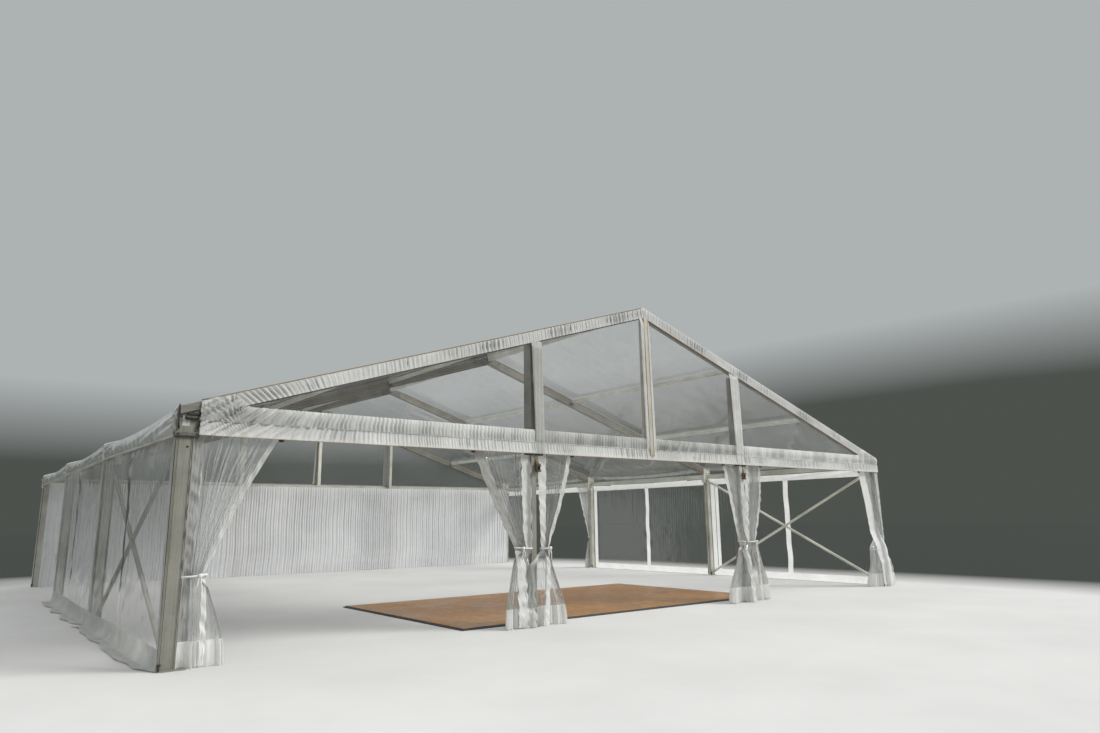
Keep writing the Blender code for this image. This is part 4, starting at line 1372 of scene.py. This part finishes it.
def curtain_sizes(seed, post, drawn, tie_height, reach, start, borders, tied, **more):
    """Distances of one curtain from its post, in metres.

    reach: at the rail, at the tie, the border's foot and the film's foot.
    start: where the inner edge is at the rail, at the tie and at the foot.
    borders, tied: widths of the post's border and the outer one, when spread and at the tie.
    """
    rail, tie, edge_foot, foot = reach
    post_border, border = borders
    sizes = {
        "seed": seed,
        "post": post,
        "drawn": drawn,
        "tie_height": tie_height,
        "rail": rail,
        "tie": tie,
        "edge_foot": edge_foot,
        "foot": foot,
        "start": start,
        "post_border": post_border,
        "border": border,
        "tied": tied,
        "sweep": 0.0,  # how far the outer border swings out of the straight line above the tie
        "forward": 0.0,  # how far the foot stands out
        "bundle": 0.0,  # how far the tied film stands out beyond its border
        "border_out": 0.06,  # how far the outer border hangs in front of the film
        "crinkled": 1.0,  # how much the borders are crinkled
        "settled": 0.25,  # share of the drop below the tie where the inner edge has reached its foot
        "whites": (BORDER_WHITE, BORDER_WHITE),  # the borders by the post and on the outer side
        "narrow": rail < 0.7,  # a narrow curtain holds as much film as a wide one, so it looks denser
        "free_side": 1.0 if "upright" in post else 0.0,  # 1 when the post's border bulges below the tie
    }
    sizes.update(more)
    return sizes


LEFT_POST, RIGHT_POST = "front_upright_left", "front_upright_right"
# Some borders get a darker copy of the white, painted shade, and the right corner curtain's outer border a
# lit copy, painted light.
CURTAINS = {
    "curtain_corner_left": curtain_sizes(
        101, "leg_1_left", 1, 0.98,
        reach=(1.03, 0.25, 0.30, 0.50),
        start=(0.0, 0.0, 0.0),
        borders=(0.13, 0.065),
        tied=(0.09, 0.05),
        sweep=-0.05,
        whites=(PAINTED_SHADE_WHITE, UPPER_SHADED_WHITE),
    ),
    "curtain_2": curtain_sizes(
        102, LEFT_POST, -1, 1.14,
        reach=(1.055, 0.28, 0.245, 0.44),
        start=(0.01, 0.0, 0.04),
        borders=(0.15, 0.19),
        tied=(0.11, 0.12),
        sweep=0.036,
        whites=(BORDER_WHITE, PAINTED_SHADE_WHITE),
    ),
    "curtain_3": curtain_sizes(
        103, LEFT_POST, 1, 1.13,
        reach=(0.765, 0.26, 0.22, 0.57),
        start=(0.06, 0.12, -0.17),
        borders=(0.17, 0.08),
        tied=(0.07, 0.06),
        sweep=0.047,
    ),
    "curtain_4": curtain_sizes(
        104, RIGHT_POST, -1, 1.10,
        reach=(0.44, 0.07, -0.05, 0.47),
        start=(-0.13, -0.10, -0.10),
        borders=(0.12, 0.09),
        tied=(0.08, 0.08),
        forward=0.05,
    ),
    "curtain_5": curtain_sizes(
        105, RIGHT_POST, 1, 1.10,
        reach=(0.635, 0.34, 0.42, 0.74),
        start=(0.16, 0.06, -0.08),
        borders=(0.12, 0.05),
        tied=(0.08, 0.05),
        sweep=0.10,
    ),
    "curtain_corner_right": curtain_sizes(
        106, "leg_1_right", -1, 0.80,
        reach=(0.58, 0.22, 0.13, 0.44),
        start=(-0.17, -0.21, -0.40),
        borders=(0.13, 0.27),
        tied=(0.02, 0.30),
        sweep=-0.05,
        forward=0.05,
        bundle=0.10,
        border_out=0.11,
        crinkled=0.4,
        whites=(BORDER_WHITE, FOOT_AND_LIT_WHITE),
        settled=0.9,
        free_side=1.0,
    ),
}
CURTAIN_PLANE = middle_of("curtain_2").y
CURTAIN_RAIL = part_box("curtain_2")[1].z


def front_place(name, sizes):
    """Turns distances from the post into places, for a curtain of the front gable."""
    low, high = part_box(name)
    edge = low.x if sizes["drawn"] > 0 else high.x

    def place(across, out, height):
        return edge + sizes["drawn"] * across, CURTAIN_PLANE - out, height

    return place


for name, sizes in CURTAINS.items():
    print(curtain(name, sizes, CURTAIN_RAIL, front_place(name, sizes), [sizes["post"]]))

# %% [markdown]
# The last bay of each side has no wall, only a narrow curtain that is tied back to its leg. It is
# the same curtain with smaller distances, turned into the plane of the side.

# %% Curtains of the open side bays
SIDE_CURTAIN = curtain_sizes(
    111,
    "leg",
    1,
    0.99,
    reach=(0.66, 0.13, 0.14, 0.30),
    start=(0.0, 0.0, 0.0),
    borders=(0.06, 0.10),
    tied=(0.05, 0.05),
)


def open_side_place(side, sign):
    edge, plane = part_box(f"side_curtain_{side}")[0].y, abs(middle_of(f"side_curtain_{side}").x)

    def place(across, out, height):
        return sign * (plane + out), edge + across, height

    return place


for side, sign in SIDES.items():
    name = f"side_curtain_{side}"
    print(curtain(name, SIDE_CURTAIN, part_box(name)[1].z, open_side_place(side, sign), [f"leg_3_{side}"]))

# %% [markdown]
# ## The ties
#
# Each curtain is held by a length of white webbing, passed once round the gathered cloth and
# knotted, with both ends hanging. Webbing is flat, but here it is rolled up by the pull and only a
# finger thick, so a tube on an ellipse around the waist of the cloth is enough.

# %% Ties
TIE_RADIUS = 0.010
TIE_DEPTH = 0.075  # from the middle of the cloth to the front of the loop
TIE_FORWARD = 0.02
TIE_ENDS = ((0.02, 0.17), (-0.03, 0.13))  # how far each end stands aside and hangs down
KNOT_SIZE = 0.024  # radius


def curtain_tie(name, sizes, place, rail):
    height = sizes["tie_height"]
    edges = [float(value) for value in curtain_edges(sizes, np.array(height), rail)]
    far = edges[3] + sizes["bundle"]
    middle, half = (edges[0] + far) / 2, (far - edges[0]) / 2 + 0.015
    front = TIE_FORWARD + TIE_DEPTH
    shape = bmesh.new()
    loop = []
    for turn in np.linspace(0, math.tau, 25):
        sideways, forwards = math.cos(turn), math.sin(turn)
        out = TIE_FORWARD + TIE_DEPTH * forwards
        loop.append(place(middle + half * sideways, out, height + 0.01 * sideways))
    add_tube(shape, loop, TIE_RADIUS)
    knot = middle + 0.35 * half
    add_tube(shape, [place(knot + shift, front, height) for shift in (-0.02, 0.0, 0.02)], KNOT_SIZE, 10)
    for aside, hang in TIE_ENDS:
        end = []
        for t in np.linspace(0, 1, 6):
            out = front + 0.012 * math.sin(3 * t)
            end.append(place(knot + aside * t**0.5, out, height - hang * t))
        add_tube(shape, end, TIE_RADIUS * 0.8)
    return finish_solid(f"{name}_tie", shape, WEBBING, smooth=True)


for name, sizes in CURTAINS.items():
    print(curtain_tie(name, sizes, front_place(name, sizes), CURTAIN_RAIL).name)
for side, sign in SIDES.items():
    name = f"side_curtain_{side}"
    print(curtain_tie(name, SIDE_CURTAIN, open_side_place(side, sign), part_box(name)[1].z).name)

# %% [markdown]
# ## The bare leg head
#
# At the gable's left corner the white sheets stop short of the leg, and the fittings of its head
# show: a flange at the bottom, two hooks that hold the sheets' ropes, a bar with a tensioning screw
# under it, a cover plate on the slope, and a rod that stands up beside the roof's edge. They are
# placed on the face of the head and turned with the gable.

# %% Head fittings
HOOKS = ((-7.535, -0.012), (-7.340, 0.016))  # place and bow of each hook
HOOK_TOP, HOOK_DROP, HOOK_RADIUS = 2.755, 0.145, 0.013
FLANGE = (2.534, 2.576)  # its lower and upper face
FLANGE_EDGES, FLANGE_DEPTHS = (-7.578, -7.318), (-0.10, 0.022)
LIP_EDGES, LIP_DEPTHS, LIP_HEIGHT = (-7.582, -7.312), (-0.10, 0.026), 0.012  # dark, under the flange
TENSION_BAR = ((-7.452, -7.306), (-0.02, 0.022), (2.775, 2.805))  # across, out, height
ROD_STOP = ((-7.545, -7.50), (-0.02, 0.012), (2.745, 2.765))
SCREW_ENDS, SCREW_HEIGHT, SCREW_RADIUS = (-7.475, -7.355), 2.742, 0.026
ROD_PLACE, ROD_HEIGHTS, ROD_RADIUS = -7.545, (2.70, 2.80, 2.893), 0.009
STUD_PLACE, STUD_HEIGHT, STUD_RADIUS = -7.427, 2.414, 0.012  # a round one under the flange
FLANGE_BOLTS = (-7.545, -7.345)
HEAD_COVER_EDGES = (-7.535, -7.322)


def head_fittings(gable):
    dark, plain = bmesh.new(), bmesh.new()
    add_gable_box(plain, gable, FLANGE_EDGES, FLANGE_DEPTHS, FLANGE)
    add_gable_box(dark, gable, LIP_EDGES, LIP_DEPTHS, (FLANGE[0] - LIP_HEIGHT, FLANGE[0]))
    add_gable_box(dark, gable, *TENSION_BAR)
    add_gable_box(dark, gable, *ROD_STOP)
    screw = [on_gable(gable, x, 0.018, SCREW_HEIGHT) for x in SCREW_ENDS]
    add_tube(dark, screw, SCREW_RADIUS, 14)
    for across, bow in HOOKS:
        hook = []
        for t in np.linspace(0, 1, 9):
            curve = math.sin(math.pi * t)
            out, height = 0.014 + 0.012 * curve, HOOK_TOP - HOOK_DROP * t
            hook.append(on_gable(gable, across + bow * curve, out, height))
        add_tube(dark, hook, HOOK_RADIUS)
    rod = [on_gable(gable, ROD_PLACE, 0.012, z) for z in ROD_HEIGHTS]
    add_tube(dark, rod, ROD_RADIUS)
    stud = [on_gable(gable, STUD_PLACE, out, STUD_HEIGHT) for out in (-0.02, 0.004)]
    add_tube(dark, stud, STUD_RADIUS, 12)
    for across in FLANGE_BOLTS:
        bolt = [on_gable(gable, across, out, sum(FLANGE) / 2) for out in (0.02, 0.032)]
        add_tube(dark, bolt, 0.011, 6)
    return (
        finish_solid(f"{gable}_head_fittings", dark, DARK_STEEL, 0.003),
        finish_solid(f"{gable}_head_flange", plain, GREY_STEEL, 0.004),
    )


def head_cover(gable):
    """Plate on the slope over the head, with its lower edge turned in."""
    shape = bmesh.new()
    columns = []
    for across in HEAD_COVER_EDGES:
        top = float(roof_height(across)) - 0.012
        profile = ((0.004, top), (0.016, top), (0.024, top - 0.085), (0.006, top - 0.10))
        columns.append([shape.verts.new(on_gable(gable, across, *point)) for point in profile])
    for i in range(3):
        shape.faces.new((columns[0][i], columns[0][i + 1], columns[1][i + 1], columns[1][i]))
    return finish_solid(f"{gable}_head_cover", shape, RAFTER_METAL)


for gable in GABLES:
    print([made.name for made in head_fittings(gable)], head_cover(gable).name)

# %% [markdown]
# ## Brackets, plates and clamps
#
# The inner faces of the frames show plates at the ridge, brackets under the purlins, and a long
# thin gusset in the angle of leg and rafter. Pins hold the feet down. A ratchet pulls the valance
# down beside each upright, and dark clips hold the top corners of the curtains. All are small, so
# boxes with rounded edges and short tubes are enough.

# %% Plates and brackets
PLATE = 0.008
RIDGE_PLATE = (0.30, 0.15)  # length along the slope, and height
RIDGE_BOLTS = (0.07, 0.24)  # distances from the ridge
BRACKET = (0.10, 0.13)
BRACKET_DROP = 0.02  # under the middle of the rafter
BOLT_RADIUS, BOLT_LENGTH = 0.013, 0.018
HEAD_BOLT_PLACES = (LEG_OUTER - 0.05, LEG_INNER + 0.02)
HEAD_BOLT_RISES = (0.06, 0.26)  # over the top of the wall


def add_plate(shape, x, y, face, height, size):
    """Plate that lies along the slope on a frame's face."""
    turn = Matrix.Rotation(math.copysign(PITCH, x), 3, "Y")
    middle = Vector((x, y + face * (BAR_WIDTH + PLATE) / 2, height))
    half = Vector((size[0], PLATE, size[1])) / 2
    add_box(shape, middle - half, middle + half, turn)


def add_bolt(shape, x, y, face, height):
    start = y + face * BAR_WIDTH / 2
    add_tube(shape, [(x, start, height), (x, start + face * BOLT_LENGTH, height)], BOLT_RADIUS, 6)


GUSSET = (0.42, 0.055)
GUSSET_PLACE = 7.06


def frame_plates():
    plates, bolts, gussets = bmesh.new(), bmesh.new(), bmesh.new()
    rafter_middle = BAR_DEPTH / 2 / math.cos(PITCH)
    for y, face in inner_faces():
        for sign in SIDES.values():
            x = sign * (RIDGE_PLATE[0] / 2 + 0.005)
            add_plate(plates, x, y, face, float(roof_height(x)) - rafter_middle, RIDGE_PLATE)
            for x in (sign * place for place in RIDGE_BOLTS):
                add_bolt(bolts, x, y, face, float(roof_height(x)) - rafter_middle)
            for x in (sign * place for place in PURLIN_X):
                height = float(roof_height(x)) - rafter_middle - BRACKET_DROP
                add_plate(plates, x, y, face, height, BRACKET)
            x = sign * GUSSET_PLACE
            height = float(roof_height(x)) - 2 * rafter_middle + 0.03
            add_plate(gussets, x, y, face, height, GUSSET)
            for rise in HEAD_BOLT_RISES:
                for x in HEAD_BOLT_PLACES:
                    add_bolt(bolts, sign * x, y, face, WALL_TOP + rise)
    return (
        finish_solid("frame_plates", plates, GREY_STEEL, 0.002),
        finish_solid("frame_bolts", bolts, DARK_STEEL),
        finish_solid("head_gussets", gussets, RUSTY_STEEL, 0.002),
    )


for made in frame_plates():
    print(made.name, len(made.data.polygons), "faces")

# %% [markdown]
# The pins, ratchets and clips are put together from the same boxes and tubes. A ratchet is a frame
# with two cheeks, a barrel and a handle, on a strap. What has the same finish is one piece.

# %% Foot pins, ratchets and clips
FOOT_PINS = ((0.08, 0.075), (-0.08, -0.075))  # across and along, from the middle of the leg
RATCHETS = (-2.445, 2.555)  # places across the gable
RATCHET_HEIGHTS, RATCHET_DEPTHS, HALF_RATCHET = (2.30, 2.44), (0.010, 0.022), 0.026
STRAP_DEPTHS, HALF_STRAP = (0.004, 0.010), 0.02
CHEEK_HEIGHTS, CHEEK_DEPTHS, CHEEK = (2.27, 2.40), (0.006, 0.055), 0.008
CHEEK_STARTS = (-0.034, 0.026)  # across, from the middle of the ratchet
# Reach to each side, distance out, height and radius: the barrel and the handle.
BARRELS = ((0.045, 0.040, 2.365, 0.018), (0.040, 0.055, 2.285, 0.014))
HOOK_END = 2.53  # under the valance
CLIP_HEIGHTS = (2.522, 2.556)
OUTER_CLIP = (-0.05, 0.01, 0.015, 0.035)  # from the curtain's outer end: near, far, back, front
POST_CLIP = (-0.02, 0.13, 0.045, 0.065)  # the same from the post


def foot_pins():
    shape = bmesh.new()
    for y in FRAME_Y:
        for sign in SIDES.values():
            middle = sign * (LEG_OUTER - BAR_DEPTH / 2)
            for across, along in FOOT_PINS:
                x, place = middle + across, y + along
                add_tube(shape, [(x, place, z) for z in (0.012, 0.075)], 0.012)
                add_tube(shape, [(x, place, z) for z in (0.060, 0.082)], 0.022, 6)
    return finish_solid("foot_pins", shape, DARK_STEEL)


def add_ratchet(metal, dark, strap, gable, middle):
    """A frame with two cheeks, its barrel, the handle, and a hook up to the valance."""
    low, high = RATCHET_HEIGHTS
    strap_edges, edges = [(middle - half, middle + half) for half in (HALF_STRAP, HALF_RATCHET)]
    add_gable_box(strap, gable, strap_edges, STRAP_DEPTHS, (low, VALANCE_BOTTOM + 0.03))
    add_gable_box(metal, gable, edges, RATCHET_DEPTHS, RATCHET_HEIGHTS)
    for start in CHEEK_STARTS:
        cheek = middle + start
        add_gable_box(metal, gable, (cheek, cheek + CHEEK), CHEEK_DEPTHS, CHEEK_HEIGHTS)
    for reach, out, height, radius in BARRELS:
        add_tube(dark, [on_gable(gable, middle + x, out, height) for x in (-reach, reach)], radius, 10)
    add_tube(dark, [on_gable(gable, middle, 0.016, z) for z in (high, HOOK_END)], 0.009)


def ratchets():
    metal, dark, strap = bmesh.new(), bmesh.new(), bmesh.new()
    for gable in GABLES:
        for middle in RATCHETS:
            add_ratchet(metal, dark, strap, gable, middle)
    return (
        finish_solid("ratchet_frames", metal, YELLOW_STEEL, 0.002),
        finish_solid("ratchet_barrels", dark, DARK_STEEL, 0.002),
        finish_solid("ratchet_straps", strap, WEBBING, 0.001),
    )


def curtain_clips():
    shape = bmesh.new()
    for name, sizes in CURTAINS.items():
        place = front_place(name, sizes)
        spans = [(sizes["rail"], OUTER_CLIP)]
        if "upright" in sizes["post"]:
            spans.append((0.0, POST_CLIP))
        for start, (near, far, back, front) in spans:
            corner = place(start + near, back, CLIP_HEIGHTS[0])
            opposite = place(start + far, front, CLIP_HEIGHTS[1])
            add_box_between(shape, corner, opposite)
    return finish_solid("curtain_clips", shape, DARK_STEEL, 0.003)


print(foot_pins().name, [made.name for made in ratchets()], curtain_clips().name)

# %% [markdown]
# ## The dance floor
#
# Inside lies a parquet floor of panels that lock together, with a dark ramped edging around them.
# Each panel is covered with small squares of five wood fingers, and the fingers turn from one
# square to the next. The panels are real boxes with rounded edges and hairline joints. The fingers
# are too small to model, so the material works them out: the parity of the square turns the
# pattern, and a white noise of each finger's number gives its own tone of wood.

# %% Parquet finish
PARQUET_SQUARE = 0.12
FINGERS = 5
WOOD_TONES = (
    (0.22, (0.160, 0.063, 0.012)),
    (0.50, (0.272, 0.122, 0.027)),
    (0.80, (0.385, 0.193, 0.050)),
)


def whole_part(tree, value):
    return add_node(tree, "ShaderNodeMath", {0: value}, operation="FLOOR").outputs[0]


def split_place(tree):
    """The place on the piece in metres, as separate X, Y and Z."""
    place = add_node(tree, "ShaderNodeTexCoord").outputs["Object"]
    return add_node(tree, "ShaderNodeSeparateXYZ", {"Vector": place}).outputs


def parquet_finish():
    made, tree, shader = new_finish("parquet")
    split = split_place(tree)
    x = calculate(tree, "DIVIDE", split["X"], PARQUET_SQUARE)
    y = calculate(tree, "DIVIDE", split["Y"], PARQUET_SQUARE)
    square = calculate(tree, "ADD", whole_part(tree, x), whole_part(tree, y))
    parity = calculate(tree, "PINGPONG", square, 1.0)
    turned = add_node(tree, "ShaderNodeMix", {0: parity, 2: x, 3: y}).outputs[0]
    length = add_node(tree, "ShaderNodeMix", {0: parity, 2: y, 3: x}).outputs[0]
    fingers = calculate(tree, "MULTIPLY", turned, FINGERS)
    numbers = {0: whole_part(tree, fingers), 1: whole_part(tree, length), 2: parity}
    number = add_node(tree, "ShaderNodeCombineXYZ", numbers).outputs[0]
    own = add_node(tree, "ShaderNodeTexWhiteNoise", {"Vector": number}).outputs["Value"]
    grain = noise(tree, stretched_place(tree, (30.0, 4.0, 30.0)), 1.0, 5.0, 0.6)
    wear = noise(tree, stretched_place(tree), 0.9, 4.0, 0.6)
    mixed = weighted_sum(tree, (own, 0.45), (grain, 0.30), (wear, 0.30))
    tree.links.new(tones(tree, mixed, *WOOD_TONES), shader.inputs["Base Color"])
    tree.links.new(spread(tree, wear, 0.26, 0.46), shader.inputs["Roughness"])
    joint = spread(tree, calculate(tree, "PINGPONG", fingers, 0.5), 0.0, 1.0, 0.0, 0.06)
    tree.links.new(relief(tree, joint, 0.4, 0.0006), shader.inputs["Normal"])
    return made


PARQUET = parquet_finish()
print("Parquet squares of", PARQUET_SQUARE, "m")

# %% [markdown]
# Ten by six panels fill the floor's outline, with a hairline joint around each. The edging is one
# ramp around them: the four corners at four levels, joined into rings of faces.

# %% Floor panels
PANEL_COUNT = (10, 6)
PANEL_JOINT = 0.0015  # left free on each side of a panel
EDGE_STRIP = 0.045
EDGE_STRIP_BASE, EDGE_STRIP_RIM, EDGE_STRIP_HEIGHT = 0.001, 0.010, 0.026


def floor_panels():
    low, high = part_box("dance_floor")
    low, high = low + Vector((EDGE_STRIP, EDGE_STRIP, 0)), high - Vector((EDGE_STRIP, EDGE_STRIP, 0))
    step = ((high.x - low.x) / PANEL_COUNT[0], (high.y - low.y) / PANEL_COUNT[1])
    shape = bmesh.new()
    for i in range(PANEL_COUNT[0]):
        near_x, far_x = low.x + i * step[0] + PANEL_JOINT, low.x + (i + 1) * step[0] - PANEL_JOINT
        for j in range(PANEL_COUNT[1]):
            near_y, far_y = low.y + j * step[1] + PANEL_JOINT, low.y + (j + 1) * step[1] - PANEL_JOINT
            add_box(shape, (near_x, near_y, 0.0), (far_x, far_y, high.z))
    made = finish_solid("floor_panels", shape, PARQUET, 0.002)
    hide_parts("dance_floor")
    return step


def floor_edging():
    """Dark ramped strips around the panels."""
    low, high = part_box("dance_floor")
    strip = Vector((EDGE_STRIP, EDGE_STRIP, 0))
    inner_low, inner_high = low + strip, high - strip
    levels = ((low, high, EDGE_STRIP_BASE), (low, high, EDGE_STRIP_RIM))
    levels += ((inner_low, inner_high, EDGE_STRIP_HEIGHT), (inner_low, inner_high, EDGE_STRIP_BASE))
    shape = bmesh.new()
    rings = []
    for near, far, z in levels:
        corners = ((near.x, near.y), (far.x, near.y), (far.x, far.y), (near.x, far.y))
        rings.append([shape.verts.new((x, y, z)) for x, y in corners])
    for first, second in zip(rings, rings[1:] + rings[:1]):
        for i in range(4):
            after = (i + 1) % 4
            shape.faces.new((first[i], first[after], second[after], second[i]))
    made = finish_solid("floor_edging", shape, DARK_STEEL, 0.0015)
    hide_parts("dance_floor")
    return made


print("Panels of", [round(value, 2) for value in floor_panels()], "m, edged by", floor_edging().name)

# %% [markdown]
# ## Ground and light
#
# The tent stands on a plain pale floor under a soft, even sky, as in a large studio. White cloth
# and clear film only show against something darker, so the studio's backdrop is a mid grey near
# the floor and fades upwards into the pale sky. It stands a little higher to the right. Overhead the
# sky is brightest, as on an overcast day, and a wide soft sun from the right gives the pleats a
# bright side. Beyond the tent the floor runs into the backdrop, so that no line shows between them.

# %% Ground and light
BACKDROP = (0.075, 0.083, 0.074)
SKY_LOW = (0.42, 0.445, 0.45)
SKY_HIGH = (1.53, 1.56, 1.59)
GROUND_HALF = 160.0
FLOOR_TONE = (0.56, 0.555, 0.54)
FLOOR_MIDDLE, FLOOR_REACH = (-1.0, -3.0), (9.5, 12.0)  # of the pale part
FLOOR_END = (1.0, 1.35)  # it fades out between these shares of its reach
FAR_FLOOR = [0.55 * value for value in BACKDROP]
# Colours of the sky by the height that is looked at, from 0 at the horizon to 1 overhead.
SKY_STOPS = ((0.07, BACKDROP), (0.16, SKY_LOW), (0.62, SKY_LOW), (0.85, SKY_HIGH))
HIGHER_TOWARDS = (math.sin(math.radians(80)), math.cos(math.radians(80)), 0.0)
HIGHER_BY = 0.08
SUN_FROM = (0.72, -0.66, 0.75)
SUN_POWER = 2.75
SUN_WIDTH = 24.0  # degrees
SUN_COLOUR = (1.0, 0.985, 0.96)
FILM_LAYERS = 32  # that a ray may pass through


def pale_ground():
    shape = bmesh.new()
    bmesh.ops.create_grid(shape, x_segments=1, y_segments=1, size=GROUND_HALF)
    mesh = bpy.data.meshes.new("ground")
    shape.to_mesh(mesh)
    shape.free()
    made, tree, shader = new_finish("pale_ground", Roughness=0.9, Specular_IOR_Level=0.03)
    patches = noise(tree, stretched_place(tree), 0.5, 5.0, 0.6)
    darker = [0.93 * value for value in FLOOR_TONE]
    pale = tones(tree, patches, (0.35, darker), (0.65, FLOOR_TONE))
    split = split_place(tree)
    parts = []
    for axis in (0, 1):
        share = calculate(tree, "SUBTRACT", split[axis], FLOOR_MIDDLE[axis])
        share = calculate(tree, "DIVIDE", share, FLOOR_REACH[axis])
        parts.append(calculate(tree, "POWER", calculate(tree, "ABSOLUTE", share, 0.0), 4.0))
    distance = calculate(tree, "POWER", calculate(tree, "ADD", *parts), 0.25)
    faded = spread(tree, distance, 0.0, 1.0, *FLOOR_END)
    mixed = tree.nodes.new("ShaderNodeMix")
    mixed.data_type = "RGBA"
    tree.links.new(faded, mixed.inputs[0])
    tree.links.new(pale, mixed.inputs[6])
    mixed.inputs[7].default_value = (*FAR_FLOOR, 1.0)
    tree.links.new(mixed.outputs[2], shader.inputs["Base Color"])
    mesh.materials.append(made)
    ground = bpy.data.objects.new("ground", mesh)
    bpy.context.scene.collection.objects.link(ground)
    ground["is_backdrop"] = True


def soft_sky():
    world = bpy.data.worlds.new("soft_sky")
    world.use_nodes = True
    tree = world.node_tree
    direction = add_node(tree, "ShaderNodeTexCoord").outputs["Generated"]
    upwards = add_node(tree, "ShaderNodeSeparateXYZ", {"Vector": direction}).outputs["Z"]
    aim = {0: direction, 1: HIGHER_TOWARDS}
    facing = add_node(tree, "ShaderNodeVectorMath", aim, operation="DOT_PRODUCT").outputs["Value"]
    lowered = calculate(tree, "SUBTRACT", upwards, spread(tree, facing, 0.0, HIGHER_BY, 0.64, 0.97))
    tree.links.new(tones(tree, lowered, *SKY_STOPS), tree.nodes["Background"].inputs["Color"])
    tree.nodes["Background"].inputs["Strength"].default_value = 1.0
    bpy.context.scene.world = world


def soft_sun():
    sun = bpy.data.lights.new("soft_sun", "SUN")
    sun.energy = SUN_POWER
    sun.angle = math.radians(SUN_WIDTH)
    sun.color = SUN_COLOUR
    holder = bpy.data.objects.new("soft_sun", sun)
    aim = Vector(SUN_FROM).to_track_quat("Z", "Y")
    holder.matrix_world = Matrix.Translation(SUN_FROM) @ aim.to_matrix().to_4x4()
    bpy.context.scene.collection.objects.link(holder)


pale_ground()
soft_sky()
soft_sun()
bpy.context.scene.view_settings.view_transform = "Standard"
bpy.context.scene.cycles.transparent_max_bounces = FILM_LAYERS
print("Lit by a soft sky and a wide sun")

# %% [markdown]
# ## Measure and finish
#
# The dressed tent has to stay the size of the CAD model, so both boxes are printed, axis by axis.

# %% Size of the dressed tent
seen_low, seen_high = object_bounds()
for axis, name in enumerate("xyz"):
    print(name, "CAD", [round(value[axis], 3) for value in (cad_low, cad_high)])
    print(name, "seen", [round(value[axis], 3) for value in (seen_low, seen_high)])
